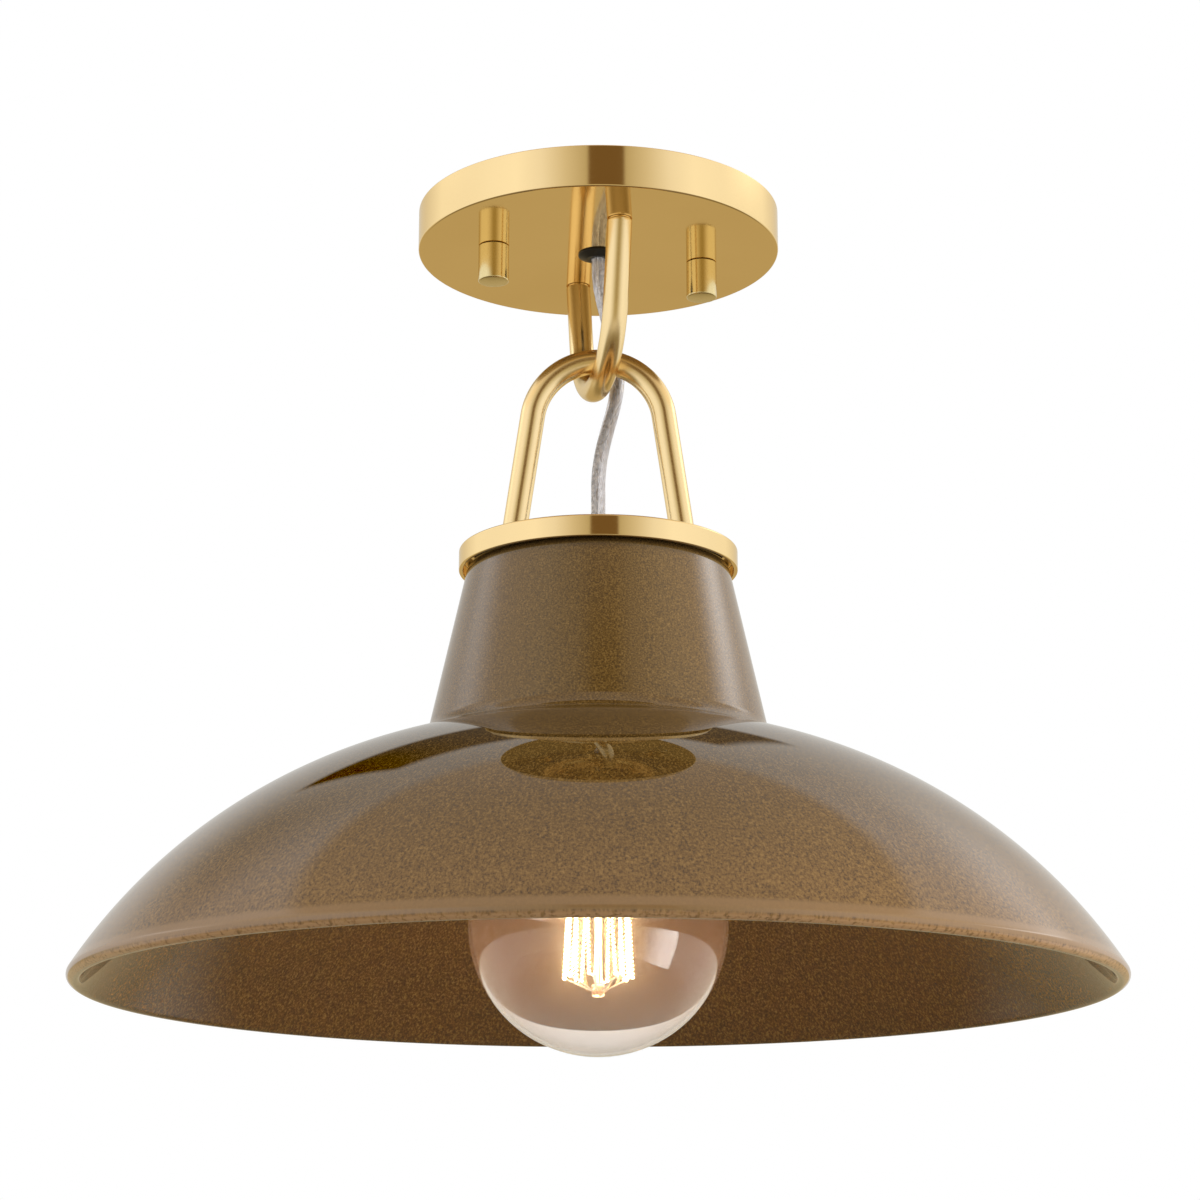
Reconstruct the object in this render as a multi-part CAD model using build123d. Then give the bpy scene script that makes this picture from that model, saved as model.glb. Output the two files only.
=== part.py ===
from build123d import *
import math
import os

# A semi-flush ceiling light, in millimetres.
# The ceiling is the plane z = 0 and the whole light hangs below it.
# X runs along the two canopy studs, and Y along the bar of the hanging loop.

# Fits that several pieces share
thread_clearance = 0.1
hole_clearance = 0.3
turning_gap = 0.1
hook_gap = 0.3

# Ceiling bracket, its studs and its ground screw
bracket_length = 106.0
bracket_width = 20.0
bracket_thickness = 2.0
bracket_corner = 4.0
lead_hole_diameter = 26.0
box_screw_spacing = 79.4
box_slot_length = 14.3
box_slot_width = 4.8
stud_spacing = 82.6
stud_diameter = 4.1
stud_engagement = 9.0
stud_nut_flats = 7.9
stud_nut_height = 3.2
ground_screw_place = 25.0
ground_screw_diameter = 4.1
ground_head_diameter = 8.6
ground_head_height = 3.0

# Canopy and the two cap nuts that hold it up
canopy_diameter = 139.6
canopy_height = 16.2
canopy_wall = 1.2
canopy_floor = 1.6
canopy_edge_radius = 0.8
cap_nut_diameter = 11.8
cap_nut_length = 14.9
cap_nut_chamfer = 0.5
cap_nut_end_wall = 4.4

# Bent brass rods: the hanging loop above and the bail below
rod_diameter = 9.5
loop_foot_spacing = 74.4
loop_drop = 53.7
loop_bend_radius = 31.0
bail_foot_spacing = 66.0
bail_height = 76.0
bail_bend_radius = 25.4
bail_yaw = -12.5

# Screws into the rods' feet
loop_screw_diameter = 4.1
loop_screw_depth = 6.0
loop_screw_bottom_gap = 0.5
pan_head_diameter = 8.0
pan_head_height = 2.8
lock_washer_diameter = 8.6
lock_washer_thickness = 1.0
bail_screw_diameter = 4.1
bail_screw_depth = 9.0
bail_screw_bottom_gap = 0.5
countersink_diameter = 8.0

# Cord, its bushing in the canopy, and its grip on the cap
cord_diameter = 5.4
cord_clearance = 0.15
bushing_flange_diameter = 15.5
bushing_flange_thickness = 2.0
bushing_body_diameter = 11.0
bushing_barb_diameter = 12.6
bushing_barb_height = 2.5
cord_tail = 1.0
lead_diameter = 1.8
lead_circle_diameter = 2.9
grip_base_diameter = 17.0
grip_top_diameter = 12.0
grip_base_height = 5.0
grip_height = 11.0
grip_screw_diameter = 3.0
grip_screw_below_top = 2.7
grip_screw_proud = 0.6

# Twist-on connectors inside the canopy
connector_mouth_diameter = 9.6
connector_tip_diameter = 6.4
connector_length = 19.0
connector_bore_depth = 11.0
connector_reach = 27.0
connector_below_bracket = 6.6
connector_angles = (45, 135, 225)

# Cap on the shade's neck
cap_neck_clearance = 2.3
cap_height = 8.1
cap_plate = 3.0
cap_skirt_wall = 1.6
cap_edge_radius = 0.8
gasket_diameter = 82.0
gasket_thickness = 1.5

# Ceramic shade
shade_rim_diameter = 385.0
shade_neck_top_diameter = 97.6
shade_neck_base_diameter = 128.4
shade_neck_height = 69.1
shade_dome_height = 91.2
shade_dome_radius = 197.2
shade_wall = 5.8
shade_top_thickness = 7.0
shade_shoulder_radius = 6.0
shade_waist_radius = 9.0
shade_lip_radius = 2.6
shade_inner_corner = 5.0

# Threaded nipple and what it clamps under the shade's top
nipple_diameter = 10.0
nipple_bore = 7.0
nipple_rise = 6.0
washer_diameter = 30.0
fibre_washer_thickness = 1.5
steel_washer_thickness = 1.5
lock_nut_flats = 16.0
lock_nut_height = 4.0

# Lamp socket
socket_hub_diameter = 17.0
socket_hub_height = 5.0
socket_cap_height = 18.0
socket_diameter = 36.0
socket_wall = 2.6
socket_floor = 7.0
socket_body_height = 38.0
shell_thickness = 0.5
shell_bore = 26.7
shell_length = 27.0
shell_throat_diameter = 18.0
contact_drop = 7.6
contact_width = 7.0
contact_thickness = 0.6
contact_rivet_diameter = 3.0
terminal_spacing = 20.0
terminal_head_diameter = 6.0
terminal_head_height = 2.2
terminal_shank_diameter = 3.2
terminal_shank_length = 4.0

# Light bulb with a large clear globe
globe_diameter = 95.5
bulb_length = 138.5
glass_thickness = 0.8
glass_seat_diameter = 23.6
glass_seat_length = 8.0
glass_neck_diameter = 34.0
glass_neck_height = 9.0
glass_neck_radius = 11.0
base_diameter = 26.0
base_thickness = 0.4
base_length = 27.0
base_tip_diameter = 9.0
base_tip_height = 1.4
insulator_diameter = 21.0
insulator_height = 4.0
stem_flare_thickness = 1.4
stem_tube_diameter = 9.0
stem_press_drop = 34.0
stem_rod_diameter = 2.6
stem_rod_drop = 98.0
stem_button_diameter = 5.0
stem_button_height = 4.6
filament_hooks = 8
filament_diameter = 0.7
filament_top_drop = 44.0
filament_bottom_drop = 91.0
filament_top_circle = 20.0
filament_bottom_circle = 25.0
filament_hook_width = 2.4
filament_bend_radius = 1.0
hook_wire_diameter = 0.6
hook_wire_gap = 0.15

# The cap's skirt stands round the shade's neck
cap_diameter = shade_neck_top_diameter + 2 * (cap_neck_clearance + cap_skirt_wall)

# Levels down the light, from the ceiling
canopy_underside = -canopy_height
canopy_inside = canopy_underside + canopy_floor
bracket_underside = -bracket_thickness
bushing_face = canopy_underside - bushing_flange_thickness
bushing_top = canopy_inside + bushing_barb_height
cord_end = bushing_top + cord_tail
loop_bar = canopy_underside - loop_drop
bail_bar = loop_bar + rod_diameter + hook_gap
cap_top = bail_bar - bail_height
grip_top = cap_top + grip_height
gasket_top = cap_top - cap_plate
shade_top = gasket_top - gasket_thickness
shade_inside_top = shade_top - shade_top_thickness
steel_washer_top = shade_inside_top - fibre_washer_thickness
lock_nut_top = steel_washer_top - steel_washer_thickness
socket_cap_top = lock_nut_top - lock_nut_height
socket_body_top = socket_cap_top - socket_cap_height
socket_floor_underside = socket_body_top - socket_floor
contact_face = socket_floor_underside - contact_drop
bulb_tip = contact_face - turning_gap
glass_start = bulb_tip - base_length
globe_bottom = bulb_tip - bulb_length
nipple_top = cap_top + nipple_rise
nipple_bottom = socket_cap_top - socket_hub_height
lamp_cord_end = nipple_bottom - cord_tail

# The cord's free stretch leaves the bushing, passes beside the loop's bar and behind the bail,
# and enters the grip.
cord_route = [
    (0.0, 0.0, bushing_face),
    (0.0, 0.0, -24.7),
    (1.6, 1.5, -33.0),
    (5.2, 5.0, -42.5),
    (8.4, 8.2, -52.0),
    (10.3, 10.2, -62.5),
    (8.6, 9.0, -73.5),
    (5.2, 6.4, -84.5),
    (2.0, 3.4, -95.5),
    (0.2, 1.2, -106.0),
    (0.0, 0.0, -116.0),
    (0.0, 0.0, grip_top),
]


def rod(diameter, top, bottom):
    height = top - bottom
    return Pos(0, 0, bottom + height / 2) * Cylinder(diameter / 2, height)


def ring(outer_diameter, inner_diameter, top, bottom):
    return rod(outer_diameter, top, bottom) - rod(inner_diameter, top, bottom)


def hex_nut(flats, bore, top, bottom):
    outline = Pos(0, 0, bottom) * RegularPolygon(flats / 2, 6, major_radius=False)
    return extrude(outline, amount=top - bottom) - rod(bore, top, bottom)


def rounded(outline, corners):
    for point, radius in corners:
        corner = outline.vertices().sort_by_distance(Vector(*point))[0]
        outline = fillet(corner, radius)
    return outline


def turned(points, corners=()):
    outline = make_face(Polyline(*points, close=True))
    return revolve(Plane.XZ * rounded(outline, corners), Axis.Z)


def beside(spacing, yaw=0):
    # Two places on a line through the axis, half the spacing to each side.
    return [Rot(0, 0, yaw) * Pos(side * spacing / 2, 0, 0) for side in (-1, 1)]


def placed(places, piece):
    return [place * piece for place in places]


def bend_radii(points):
    radii = []
    for before, here, after in zip(points, points[1:], points[2:]):
        arriving = Vector(*here) - Vector(*before)
        leaving = Vector(*after) - Vector(*here)
        half_turn = math.radians(arriving.get_angle(leaving)) / 2
        shorter = min(arriving.length, leaving.length)
        radii.append(0.45 * shorter / math.tan(half_turn))
    return radii


def tube(points, diameter, radii):
    path = FilletPolyline(*points, radius=radii)
    start = Plane(origin=path @ 0, z_dir=path % 0)
    return sweep(start * Circle(diameter / 2), path=path), path.length


def bent_rod(foot_spacing, height, bend_radius, screw_diameter, screw_depth):
    # An arch in the XZ plane: two straight legs, tangent to the bend, with feet cut level at z = 0.
    half_span = foot_spacing / 2
    bend_height = height - bend_radius
    reach = math.hypot(half_span, bend_height)
    lean = math.acos(bend_radius / reach) - math.atan2(bend_height, half_span)
    touch_x = bend_radius * math.cos(lean)
    touch_z = bend_height + bend_radius * math.sin(lean)
    foot_x = half_span + rod_diameter * math.sin(lean)
    foot_z = -rod_diameter * math.cos(lean)
    with BuildLine() as path:
        Line((-foot_x, 0, foot_z), (-touch_x, 0, touch_z))
        ThreePointArc((-touch_x, 0, touch_z), (0, 0, height), (touch_x, 0, touch_z))
        Line((touch_x, 0, touch_z), (foot_x, 0, foot_z))
    wire = path.wire()
    arch = sweep(Plane(origin=wire @ 0, z_dir=wire % 0) * Circle(rod_diameter / 2), path=wire)
    below_feet = 2 * rod_diameter
    arch -= Pos(0, 0, -below_feet / 2) * Box(4 * half_span, below_feet, below_feet)
    for place in beside(foot_spacing):
        arch -= place * rod(screw_diameter + 2 * thread_clearance, screw_depth, 0)
    return arch


def mounting_bracket():
    arm = RectangleRounded(bracket_length, bracket_width, bracket_corner)
    cross = arm + Rot(0, 0, 90) * arm - Circle(lead_hole_diameter / 2)
    for place in beside(stud_spacing):
        cross -= place * Circle(stud_diameter / 2 + thread_clearance)
    for place in beside(box_screw_spacing, 90):
        cross -= place * SlotOverall(box_slot_length, box_slot_width)
    cross -= Pos(ground_screw_place, 0, 0) * Circle(ground_screw_diameter / 2 + thread_clearance)
    return Pos(0, 0, bracket_underside) * extrude(cross, amount=bracket_thickness)


def ground_screw():
    head_underside = bracket_underside - ground_head_height
    screw = rod(ground_screw_diameter, 0, bracket_underside)
    screw += rod(ground_head_diameter, bracket_underside, head_underside)
    return Pos(ground_screw_place, 0, 0) * screw


def canopy():
    outer = canopy_diameter / 2
    inner = outer - canopy_wall
    profile = [
        (0, canopy_underside),
        (outer, canopy_underside),
        (outer, 0),
        (inner, 0),
        (inner, canopy_inside),
        (0, canopy_inside),
    ]
    corners = [((outer, canopy_underside), canopy_edge_radius), ((inner, canopy_inside), canopy_edge_radius)]
    cup = turned(profile, corners)
    cup -= rod(bushing_body_diameter + 2 * hole_clearance, canopy_inside, canopy_underside)
    for place in beside(stud_spacing):
        cup -= place * rod(stud_diameter + 2 * hole_clearance, canopy_inside, canopy_underside)
    for place in beside(loop_foot_spacing, 90):
        cup -= place * rod(loop_screw_diameter + 2 * hole_clearance, canopy_inside, canopy_underside)
    return cup


def cap_nut():
    top = canopy_underside - turning_gap
    bottom = top - cap_nut_length
    nut = rod(cap_nut_diameter, top, bottom)
    nut = chamfer(nut.edges().group_by(Axis.Z)[0], cap_nut_chamfer)
    return nut - rod(stud_diameter + 2 * thread_clearance, top, bottom + cap_nut_end_wall)


def loop_screw():
    head_underside = canopy_inside + lock_washer_thickness
    tip = canopy_underside - loop_screw_depth + loop_screw_bottom_gap
    screw = rod(pan_head_diameter, head_underside + pan_head_height, head_underside)
    return screw + rod(loop_screw_diameter, head_underside, tip)


def lock_washer():
    hole = loop_screw_diameter + 2 * thread_clearance
    return ring(lock_washer_diameter, hole, canopy_inside + lock_washer_thickness, canopy_inside)


def canopy_cord_bushing():
    bushing = rod(bushing_flange_diameter, canopy_underside, bushing_face)
    bushing += rod(bushing_body_diameter, canopy_inside, canopy_underside)
    bushing += rod(bushing_barb_diameter, bushing_top, canopy_inside)
    return bushing - rod(cord_diameter + 2 * cord_clearance, bushing_top, bushing_face)


def supply_lead(angle):
    # One lead runs from the cord's cut end, over the canopy's floor, into the mouth of its connector.
    connector_level = bracket_underside - connector_below_bracket
    start = lead_circle_diameter / 2
    route = [
        (start, 0, cord_end),
        (start, 0, cord_end + 1.8),
        (start + 2.2, 0, cord_end + 3.8),
        (start + 6.5, 0, cord_end + 4.4),
        (start + 14.0, 0, connector_level + 0.6),
        (connector_reach - 4.0, 0, connector_level),
        (connector_reach + connector_bore_depth - 1.0, 0, connector_level),
    ]
    solid, length = tube(route, lead_diameter, bend_radii(route))
    return Rot(0, 0, angle) * solid


def wire_connector(angle):
    bore = lead_diameter / 2 + thread_clearance
    mouth = connector_mouth_diameter / 2
    tip = connector_tip_diameter / 2
    profile = [
        (bore, 0),
        (mouth, 0),
        (tip, connector_length),
        (0, connector_length),
        (0, connector_bore_depth),
        (bore, connector_bore_depth),
    ]
    lying = Pos(connector_reach, 0, bracket_underside - connector_below_bracket) * Rot(0, 90, 0)
    return Rot(0, 0, angle) * lying * turned(profile)


def collar_cap():
    outer = cap_diameter / 2
    inner = outer - cap_skirt_wall
    profile = [
        (0, cap_top),
        (outer, cap_top),
        (outer, cap_top - cap_height),
        (inner, cap_top - cap_height),
        (inner, gasket_top),
        (0, gasket_top),
    ]
    cap = turned(profile, [((outer, cap_top), cap_edge_radius)])
    cap -= rod(nipple_diameter + 2 * hole_clearance, cap_top, gasket_top)
    for place in beside(bail_foot_spacing, bail_yaw):
        cap -= place * bail_screw(hole_clearance)
    return cap


def bail_screw(allowance=0.0):
    # Countersunk from below: the head sits flush with the underside of the cap's plate.
    shank = bail_screw_diameter / 2 + allowance
    head = countersink_diameter / 2 + allowance
    head_height = head - shank
    tip = cap_top + bail_screw_depth - bail_screw_bottom_gap
    profile = [(0, gasket_top), (head, gasket_top), (shank, gasket_top + head_height), (shank, tip), (0, tip)]
    return turned(profile)


def cord_grip():
    base = grip_base_diameter / 2
    neck = grip_top_diameter / 2
    thread = nipple_diameter / 2 + thread_clearance
    passage = cord_diameter / 2 + cord_clearance
    profile = [
        (thread, cap_top),
        (base, cap_top),
        (base, cap_top + grip_base_height),
        (neck, grip_top),
        (passage, grip_top),
        (passage, nipple_top),
        (thread, nipple_top),
    ]
    grip = turned(profile)
    return grip - grip_screw_place() * rod(grip_screw_diameter + 2 * thread_clearance, base, passage)


def grip_screw_place():
    # A radial hole that points away from the cord, square to the bail.
    return Pos(0, 0, grip_top - grip_screw_below_top) * Rot(0, 0, bail_yaw) * Rot(-90, 0, 0)


def grip_set_screw():
    inner_end = cord_diameter / 2 + cord_clearance
    outer_end = grip_top_diameter / 2 + grip_screw_proud
    return grip_screw_place() * rod(grip_screw_diameter, outer_end, inner_end)


def shade():
    # The wall follows a straight neck and a round dome, and its lip is square to the dome and rounded.
    neck_top = Vector(shade_neck_top_diameter / 2, shade_top)
    waist = Vector(shade_neck_base_diameter / 2, shade_top - shade_neck_height)
    rim = Vector(shade_rim_diameter / 2, waist.Y - shade_dome_height)
    chord = rim - waist
    across = Vector(chord.Y, -chord.X).normalized()
    center = (waist + rim) * 0.5 + across * math.sqrt(shade_dome_radius**2 - (chord.length / 2) ** 2)
    inner_radius = shade_dome_radius - shade_wall
    inner_rim = center + (rim - center).normalized() * inner_radius
    down = (waist - neck_top).normalized()
    inner_line = neck_top + Vector(down.Y, -down.X) * shade_wall
    to_line = inner_line - center
    along = to_line.dot(down)
    inner_waist = inner_line - down * (along + math.sqrt(along**2 - to_line.dot(to_line) + inner_radius**2))
    to_ceiling = (shade_inside_top - inner_line.Y) / down.Y
    inner_top = inner_line + down * to_ceiling
    middle = center + ((waist + rim) * 0.5 - center).normalized() * shade_dome_radius
    inner_middle = center + ((inner_waist + inner_rim) * 0.5 - center).normalized() * inner_radius
    hole = nipple_diameter / 2 + hole_clearance
    with BuildLine() as path:
        Polyline((hole, shade_inside_top), (hole, shade_top), neck_top, waist)
        ThreePointArc(waist, middle, rim)
        Line(rim, inner_rim)
        ThreePointArc(inner_rim, inner_middle, inner_waist)
        Polyline(inner_waist, inner_top, (hole, shade_inside_top))
    corners = [
        (neck_top, shade_shoulder_radius),
        (waist, shade_waist_radius),
        (rim, shade_lip_radius),
        (inner_rim, shade_lip_radius),
        (inner_waist, shade_waist_radius + shade_wall),
        (inner_top, shade_inner_corner),
    ]
    return revolve(Plane.XZ * rounded(make_face(path.edges()), corners), Axis.Z)


def socket_cap():
    hub = socket_hub_diameter / 2
    outer = socket_diameter / 2
    thread = nipple_diameter / 2 + thread_clearance
    hub_bottom = socket_cap_top - socket_hub_height
    profile = [
        (thread, socket_cap_top),
        (hub, socket_cap_top),
        (hub, hub_bottom + socket_wall),
        (outer, hub_bottom - socket_wall),
        (outer, socket_body_top),
        (outer - socket_wall, socket_body_top),
        (outer - socket_wall, hub_bottom - 2 * socket_wall),
        (thread, hub_bottom),
    ]
    return turned(profile)


def socket_body():
    outer = socket_diameter / 2
    inner = shell_bore / 2 + shell_thickness + hole_clearance
    bottom = socket_body_top - socket_body_height
    profile = [
        (0, socket_body_top),
        (outer, socket_body_top),
        (outer, bottom),
        (inner, bottom),
        (inner, socket_floor_underside),
        (0, socket_floor_underside),
    ]
    body = turned(profile)
    body -= rod(contact_rivet_diameter + 2 * thread_clearance, socket_body_top, socket_floor_underside)
    hole_bottom = socket_body_top - terminal_shank_length
    for place in beside(terminal_spacing):
        body -= place * rod(terminal_shank_diameter + 2 * thread_clearance, socket_body_top, hole_bottom)
    return body


def terminal_screw():
    screw = rod(terminal_head_diameter, socket_body_top + terminal_head_height, socket_body_top)
    return screw + rod(terminal_shank_diameter, socket_body_top, socket_body_top - terminal_shank_length)


def socket_screw_shell():
    outer_diameter = shell_bore + 2 * shell_thickness
    bottom = socket_floor_underside - shell_length
    seat = socket_floor_underside - shell_thickness
    shell = ring(outer_diameter, shell_bore, socket_floor_underside, bottom)
    return shell + ring(outer_diameter, shell_throat_diameter, socket_floor_underside, seat)


def socket_center_contact():
    # A riveted spring tab: a flat foot under the socket's floor, and a tongue bent down to the bulb's tip.
    half_width = contact_width / 2
    foot_underside = socket_floor_underside - contact_thickness
    outline = [
        (half_width, socket_floor_underside),
        (-half_width, socket_floor_underside),
        (-half_width, foot_underside),
        (half_width - contact_thickness, foot_underside),
        (half_width - contact_thickness, contact_face + contact_thickness),
        (-half_width, contact_face + contact_thickness),
        (-half_width, contact_face),
        (half_width, contact_face),
    ]
    face = Plane.XZ * make_face(Polyline(*outline, close=True))
    tab = extrude(face, amount=half_width, both=True)
    return tab + rod(contact_rivet_diameter, socket_body_top, socket_floor_underside)


def socket_lead(side):
    # From the cord's end inside the socket cap down to the head of its terminal screw.
    start = lead_circle_diameter / 2
    terminal = terminal_spacing / 2
    head_top = socket_body_top + terminal_head_height
    fall = lamp_cord_end - head_top
    route = [
        (side * start, 0, lamp_cord_end),
        (side * start, 0, lamp_cord_end - 0.20 * fall),
        (side * (start + 3.2), 0, lamp_cord_end - 0.47 * fall),
        (side * (terminal - 1.2), 0, lamp_cord_end - 0.64 * fall),
        (side * terminal, 0, lamp_cord_end - 0.84 * fall),
        (side * terminal, 0, head_top),
    ]
    solid, length = tube(route, lead_diameter, bend_radii(route))
    return solid


def glass_outline(inset):
    # Half of the globe's outline, a seat inside the screw base, a short neck and the globe.
    globe = globe_diameter / 2 - inset
    seat = glass_seat_diameter / 2 - inset
    neck = glass_neck_diameter / 2 - inset
    center = globe_bottom + globe_diameter / 2
    seat_top = glass_start + glass_seat_length
    neck_start = glass_start - glass_neck_height
    neck_end = center + math.sqrt(globe**2 - neck**2)
    side = (globe, center)
    bottom = (0, center - globe)
    with BuildLine() as path:
        Polyline((0, seat_top), (seat, seat_top), (seat, glass_start), (neck, neck_start), (neck, neck_end))
        RadiusArc((neck, neck_end), side, globe)
        RadiusArc(side, bottom, globe)
        Line(bottom, (0, seat_top))
    outline = make_face(path.edges())
    return rounded(outline, [((neck, neck_end), glass_neck_radius + inset)])


def bulb_globe():
    return revolve(Plane.XZ * (glass_outline(0) - glass_outline(glass_thickness)), Axis.Z)


def bulb_screw_base():
    outer = base_diameter
    top = bulb_tip - base_tip_height - insulator_height
    inner = outer - 2 * base_thickness
    shell = ring(outer, inner, top, glass_start)
    return shell + ring(outer, insulator_diameter + 2 * thread_clearance, top, top - base_thickness)


def bulb_base_insulator():
    top = bulb_tip - base_tip_height
    lower = top - insulator_height
    seat = insulator_diameter / 2
    tip = base_tip_diameter / 2
    bottom = lower - base_thickness
    return turned([(0, top), (tip, top), (seat, lower), (seat, bottom), (0, bottom)])


def bulb_center_contact():
    return rod(base_tip_diameter, bulb_tip, bulb_tip - base_tip_height)


def bulb_stem():
    top = glass_start + glass_seat_length
    flare = glass_seat_diameter / 2 - glass_thickness - thread_clearance
    tube_radius = stem_tube_diameter / 2
    rod_radius = stem_rod_diameter / 2
    button = stem_button_diameter / 2
    press = top - stem_press_drop
    rod_end = top - stem_rod_drop
    profile = [
        (0, top),
        (flare, top),
        (flare, top - stem_flare_thickness),
        (tube_radius, top - stem_flare_thickness - flare + tube_radius),
        (tube_radius, press),
        (rod_radius, press - tube_radius),
        (rod_radius, rod_end + stem_button_height),
        (button, rod_end + stem_button_height),
        (button, rod_end),
        (0, rod_end),
    ]
    return turned(profile)


def cage_point(index, upper, side=0):
    # Upper hooks stand between lower hooks. A side of -1 or 1 is where a strand meets its hook.
    step = 360 / filament_hooks
    angle = math.radians(step * index if upper else step * (index + 0.5))
    radius = (filament_top_circle if upper else filament_bottom_circle) / 2
    drop = filament_top_drop if upper else filament_bottom_drop
    level = glass_start + glass_seat_length - drop
    outward = Vector(math.cos(angle), math.sin(angle), 0)
    sideways = Vector(-math.sin(angle), math.cos(angle), 0)
    return outward * radius + sideways * (side * filament_hook_width / 2) + Vector(0, 0, level)


def bulb_filament():
    # One strand goes down and up round the cage, and both its ends finish at the top.
    route = [cage_point(0, True, 1)]
    for index in range(filament_hooks):
        route.append(cage_point(index, False, -1))
        route.append(cage_point(index, False, 1))
        route.append(cage_point(index + 1, True, -1))
        route.append(cage_point(index + 1, True, 1))
    route.pop()
    solid, length = tube(route, filament_diameter, [filament_bend_radius] * (len(route) - 2))
    return solid


def fine_wire(start, end, end_gap):
    # Starts a gap away from its holder and stops short of the filament.
    along = (end - start).normalized()
    first = start + along * hook_wire_gap
    length = (end - start).length - hook_wire_gap - end_gap
    return extrude(Plane(origin=first, z_dir=along) * Circle(hook_wire_diameter / 2), amount=length)


def filament_supports():
    # Hooks from the glass rod and its button out to the filament's bends, and two leads from the press.
    stem_top = glass_start + glass_seat_length
    press = Vector(0, 0, stem_top - stem_press_drop)
    button = Vector(0, 0, stem_top - stem_rod_drop + stem_button_height / 2)
    beside_strand = filament_diameter / 2 + hook_wire_gap
    wires = []
    for index in range(filament_hooks):
        low = cage_point(index, False)
        outward = Vector(low.X, low.Y, 0).normalized()
        wires.append(fine_wire(button + outward * (stem_button_diameter / 2), low, beside_strand))
    for index in range(1, filament_hooks):
        high = cage_point(index, True)
        outward = Vector(high.X, high.Y, 0).normalized()
        level = Vector(0, 0, high.Z)
        wires.append(fine_wire(level + outward * (stem_rod_diameter / 2), high, beside_strand))
    for side in (-1, 1):
        high = cage_point(0, True, side)
        outward = Vector(high.X, high.Y, 0).normalized()
        wires.append(fine_wire(press + outward * (stem_tube_diameter / 2), high, beside_strand))
    return wires


cord_radii = bend_radii(cord_route)
cord_solid, cord_length = tube(cord_route, cord_diameter, cord_radii)
cord_volume = math.pi * (cord_diameter / 2) ** 2 * cord_length
print("cord bend radii", [round(radius, 1) for radius in cord_radii])
print("cord length", round(cord_length, 2))
print("cord volume", round(cord_solid.volume, 1), "expected", round(cord_volume, 1))

stud_places = beside(stud_spacing)
loop_places = beside(loop_foot_spacing, 90)
bail_places = beside(bail_foot_spacing, bail_yaw)
nut_below_bracket = bracket_underside - stud_nut_height
stud_tip = canopy_underside - stud_engagement
loop_arch = bent_rod(loop_foot_spacing, loop_drop, loop_bend_radius, loop_screw_diameter, loop_screw_depth)
bail_arch = bent_rod(bail_foot_spacing, bail_height, bail_bend_radius, bail_screw_diameter, bail_screw_depth)
stud_nut = hex_nut(stud_nut_flats, stud_diameter + 2 * thread_clearance, bracket_underside, nut_below_bracket)
nipple_hole = nipple_diameter + 2 * hole_clearance
nipple_thread = nipple_diameter + 2 * thread_clearance

nodes = {
    "mounting_bracket": mounting_bracket(),
    "bracket_studs": placed(stud_places, rod(stud_diameter, 0, stud_tip)),
    "stud_lock_nuts": placed(stud_places, stud_nut),
    "ground_screw": ground_screw(),
    "canopy": canopy(),
    "left_cap_nut": stud_places[0] * cap_nut(),
    "right_cap_nut": stud_places[1] * cap_nut(),
    "hanging_loop": Pos(0, 0, canopy_underside) * Rot(0, 0, 90) * Rot(180, 0, 0) * loop_arch,
    "loop_screws": placed(loop_places, loop_screw()),
    "loop_lock_washers": placed(loop_places, lock_washer()),
    "canopy_cord_bushing": canopy_cord_bushing(),
    "cord_canopy_end": rod(cord_diameter, cord_end, bushing_face),
    "supply_leads": [supply_lead(angle) for angle in connector_angles],
    "wire_connectors": [wire_connector(angle) for angle in connector_angles],
    "power_cord": cord_solid,
    "bail": Pos(0, 0, cap_top) * Rot(0, 0, bail_yaw) * bail_arch,
    "bail_screws": placed(bail_places, bail_screw()),
    "collar_cap": collar_cap(),
    "cord_grip": cord_grip(),
    "grip_set_screw": grip_set_screw(),
    "cord_lamp_end": rod(cord_diameter, grip_top, lamp_cord_end),
    "threaded_nipple": ring(nipple_diameter, nipple_bore, nipple_top, nipple_bottom),
    "shade_gasket": ring(gasket_diameter, nipple_hole, gasket_top, shade_top),
    "shade": shade(),
    "shade_fibre_washer": ring(washer_diameter, nipple_hole, shade_inside_top, steel_washer_top),
    "shade_steel_washer": ring(washer_diameter, nipple_hole, steel_washer_top, lock_nut_top),
    "shade_lock_nut": hex_nut(lock_nut_flats, nipple_thread, lock_nut_top, socket_cap_top),
    "socket_cap": socket_cap(),
    "socket_body": socket_body(),
    "socket_terminal_screws": placed(beside(terminal_spacing), terminal_screw()),
    "socket_leads": [socket_lead(side) for side in (-1, 1)],
    "socket_screw_shell": socket_screw_shell(),
    "socket_center_contact": socket_center_contact(),
    "bulb_globe": bulb_globe(),
    "bulb_screw_base": bulb_screw_base(),
    "bulb_base_insulator": bulb_base_insulator(),
    "bulb_center_contact": bulb_center_contact(),
    "bulb_stem": bulb_stem(),
    "filament_supports": filament_supports(),
    "bulb_filament": bulb_filament(),
}

os.makedirs("parts", exist_ok=True)
for name, shape in nodes.items():
    solid = Compound(children=shape) if isinstance(shape, list) else shape
    export_step(solid, os.path.join("parts", name + ".step"))
print("wrote", len(nodes), "nodes")
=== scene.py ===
from math import acos, atan2, cos, degrees, hypot, pi, radians, sin, sqrt, tan

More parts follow.
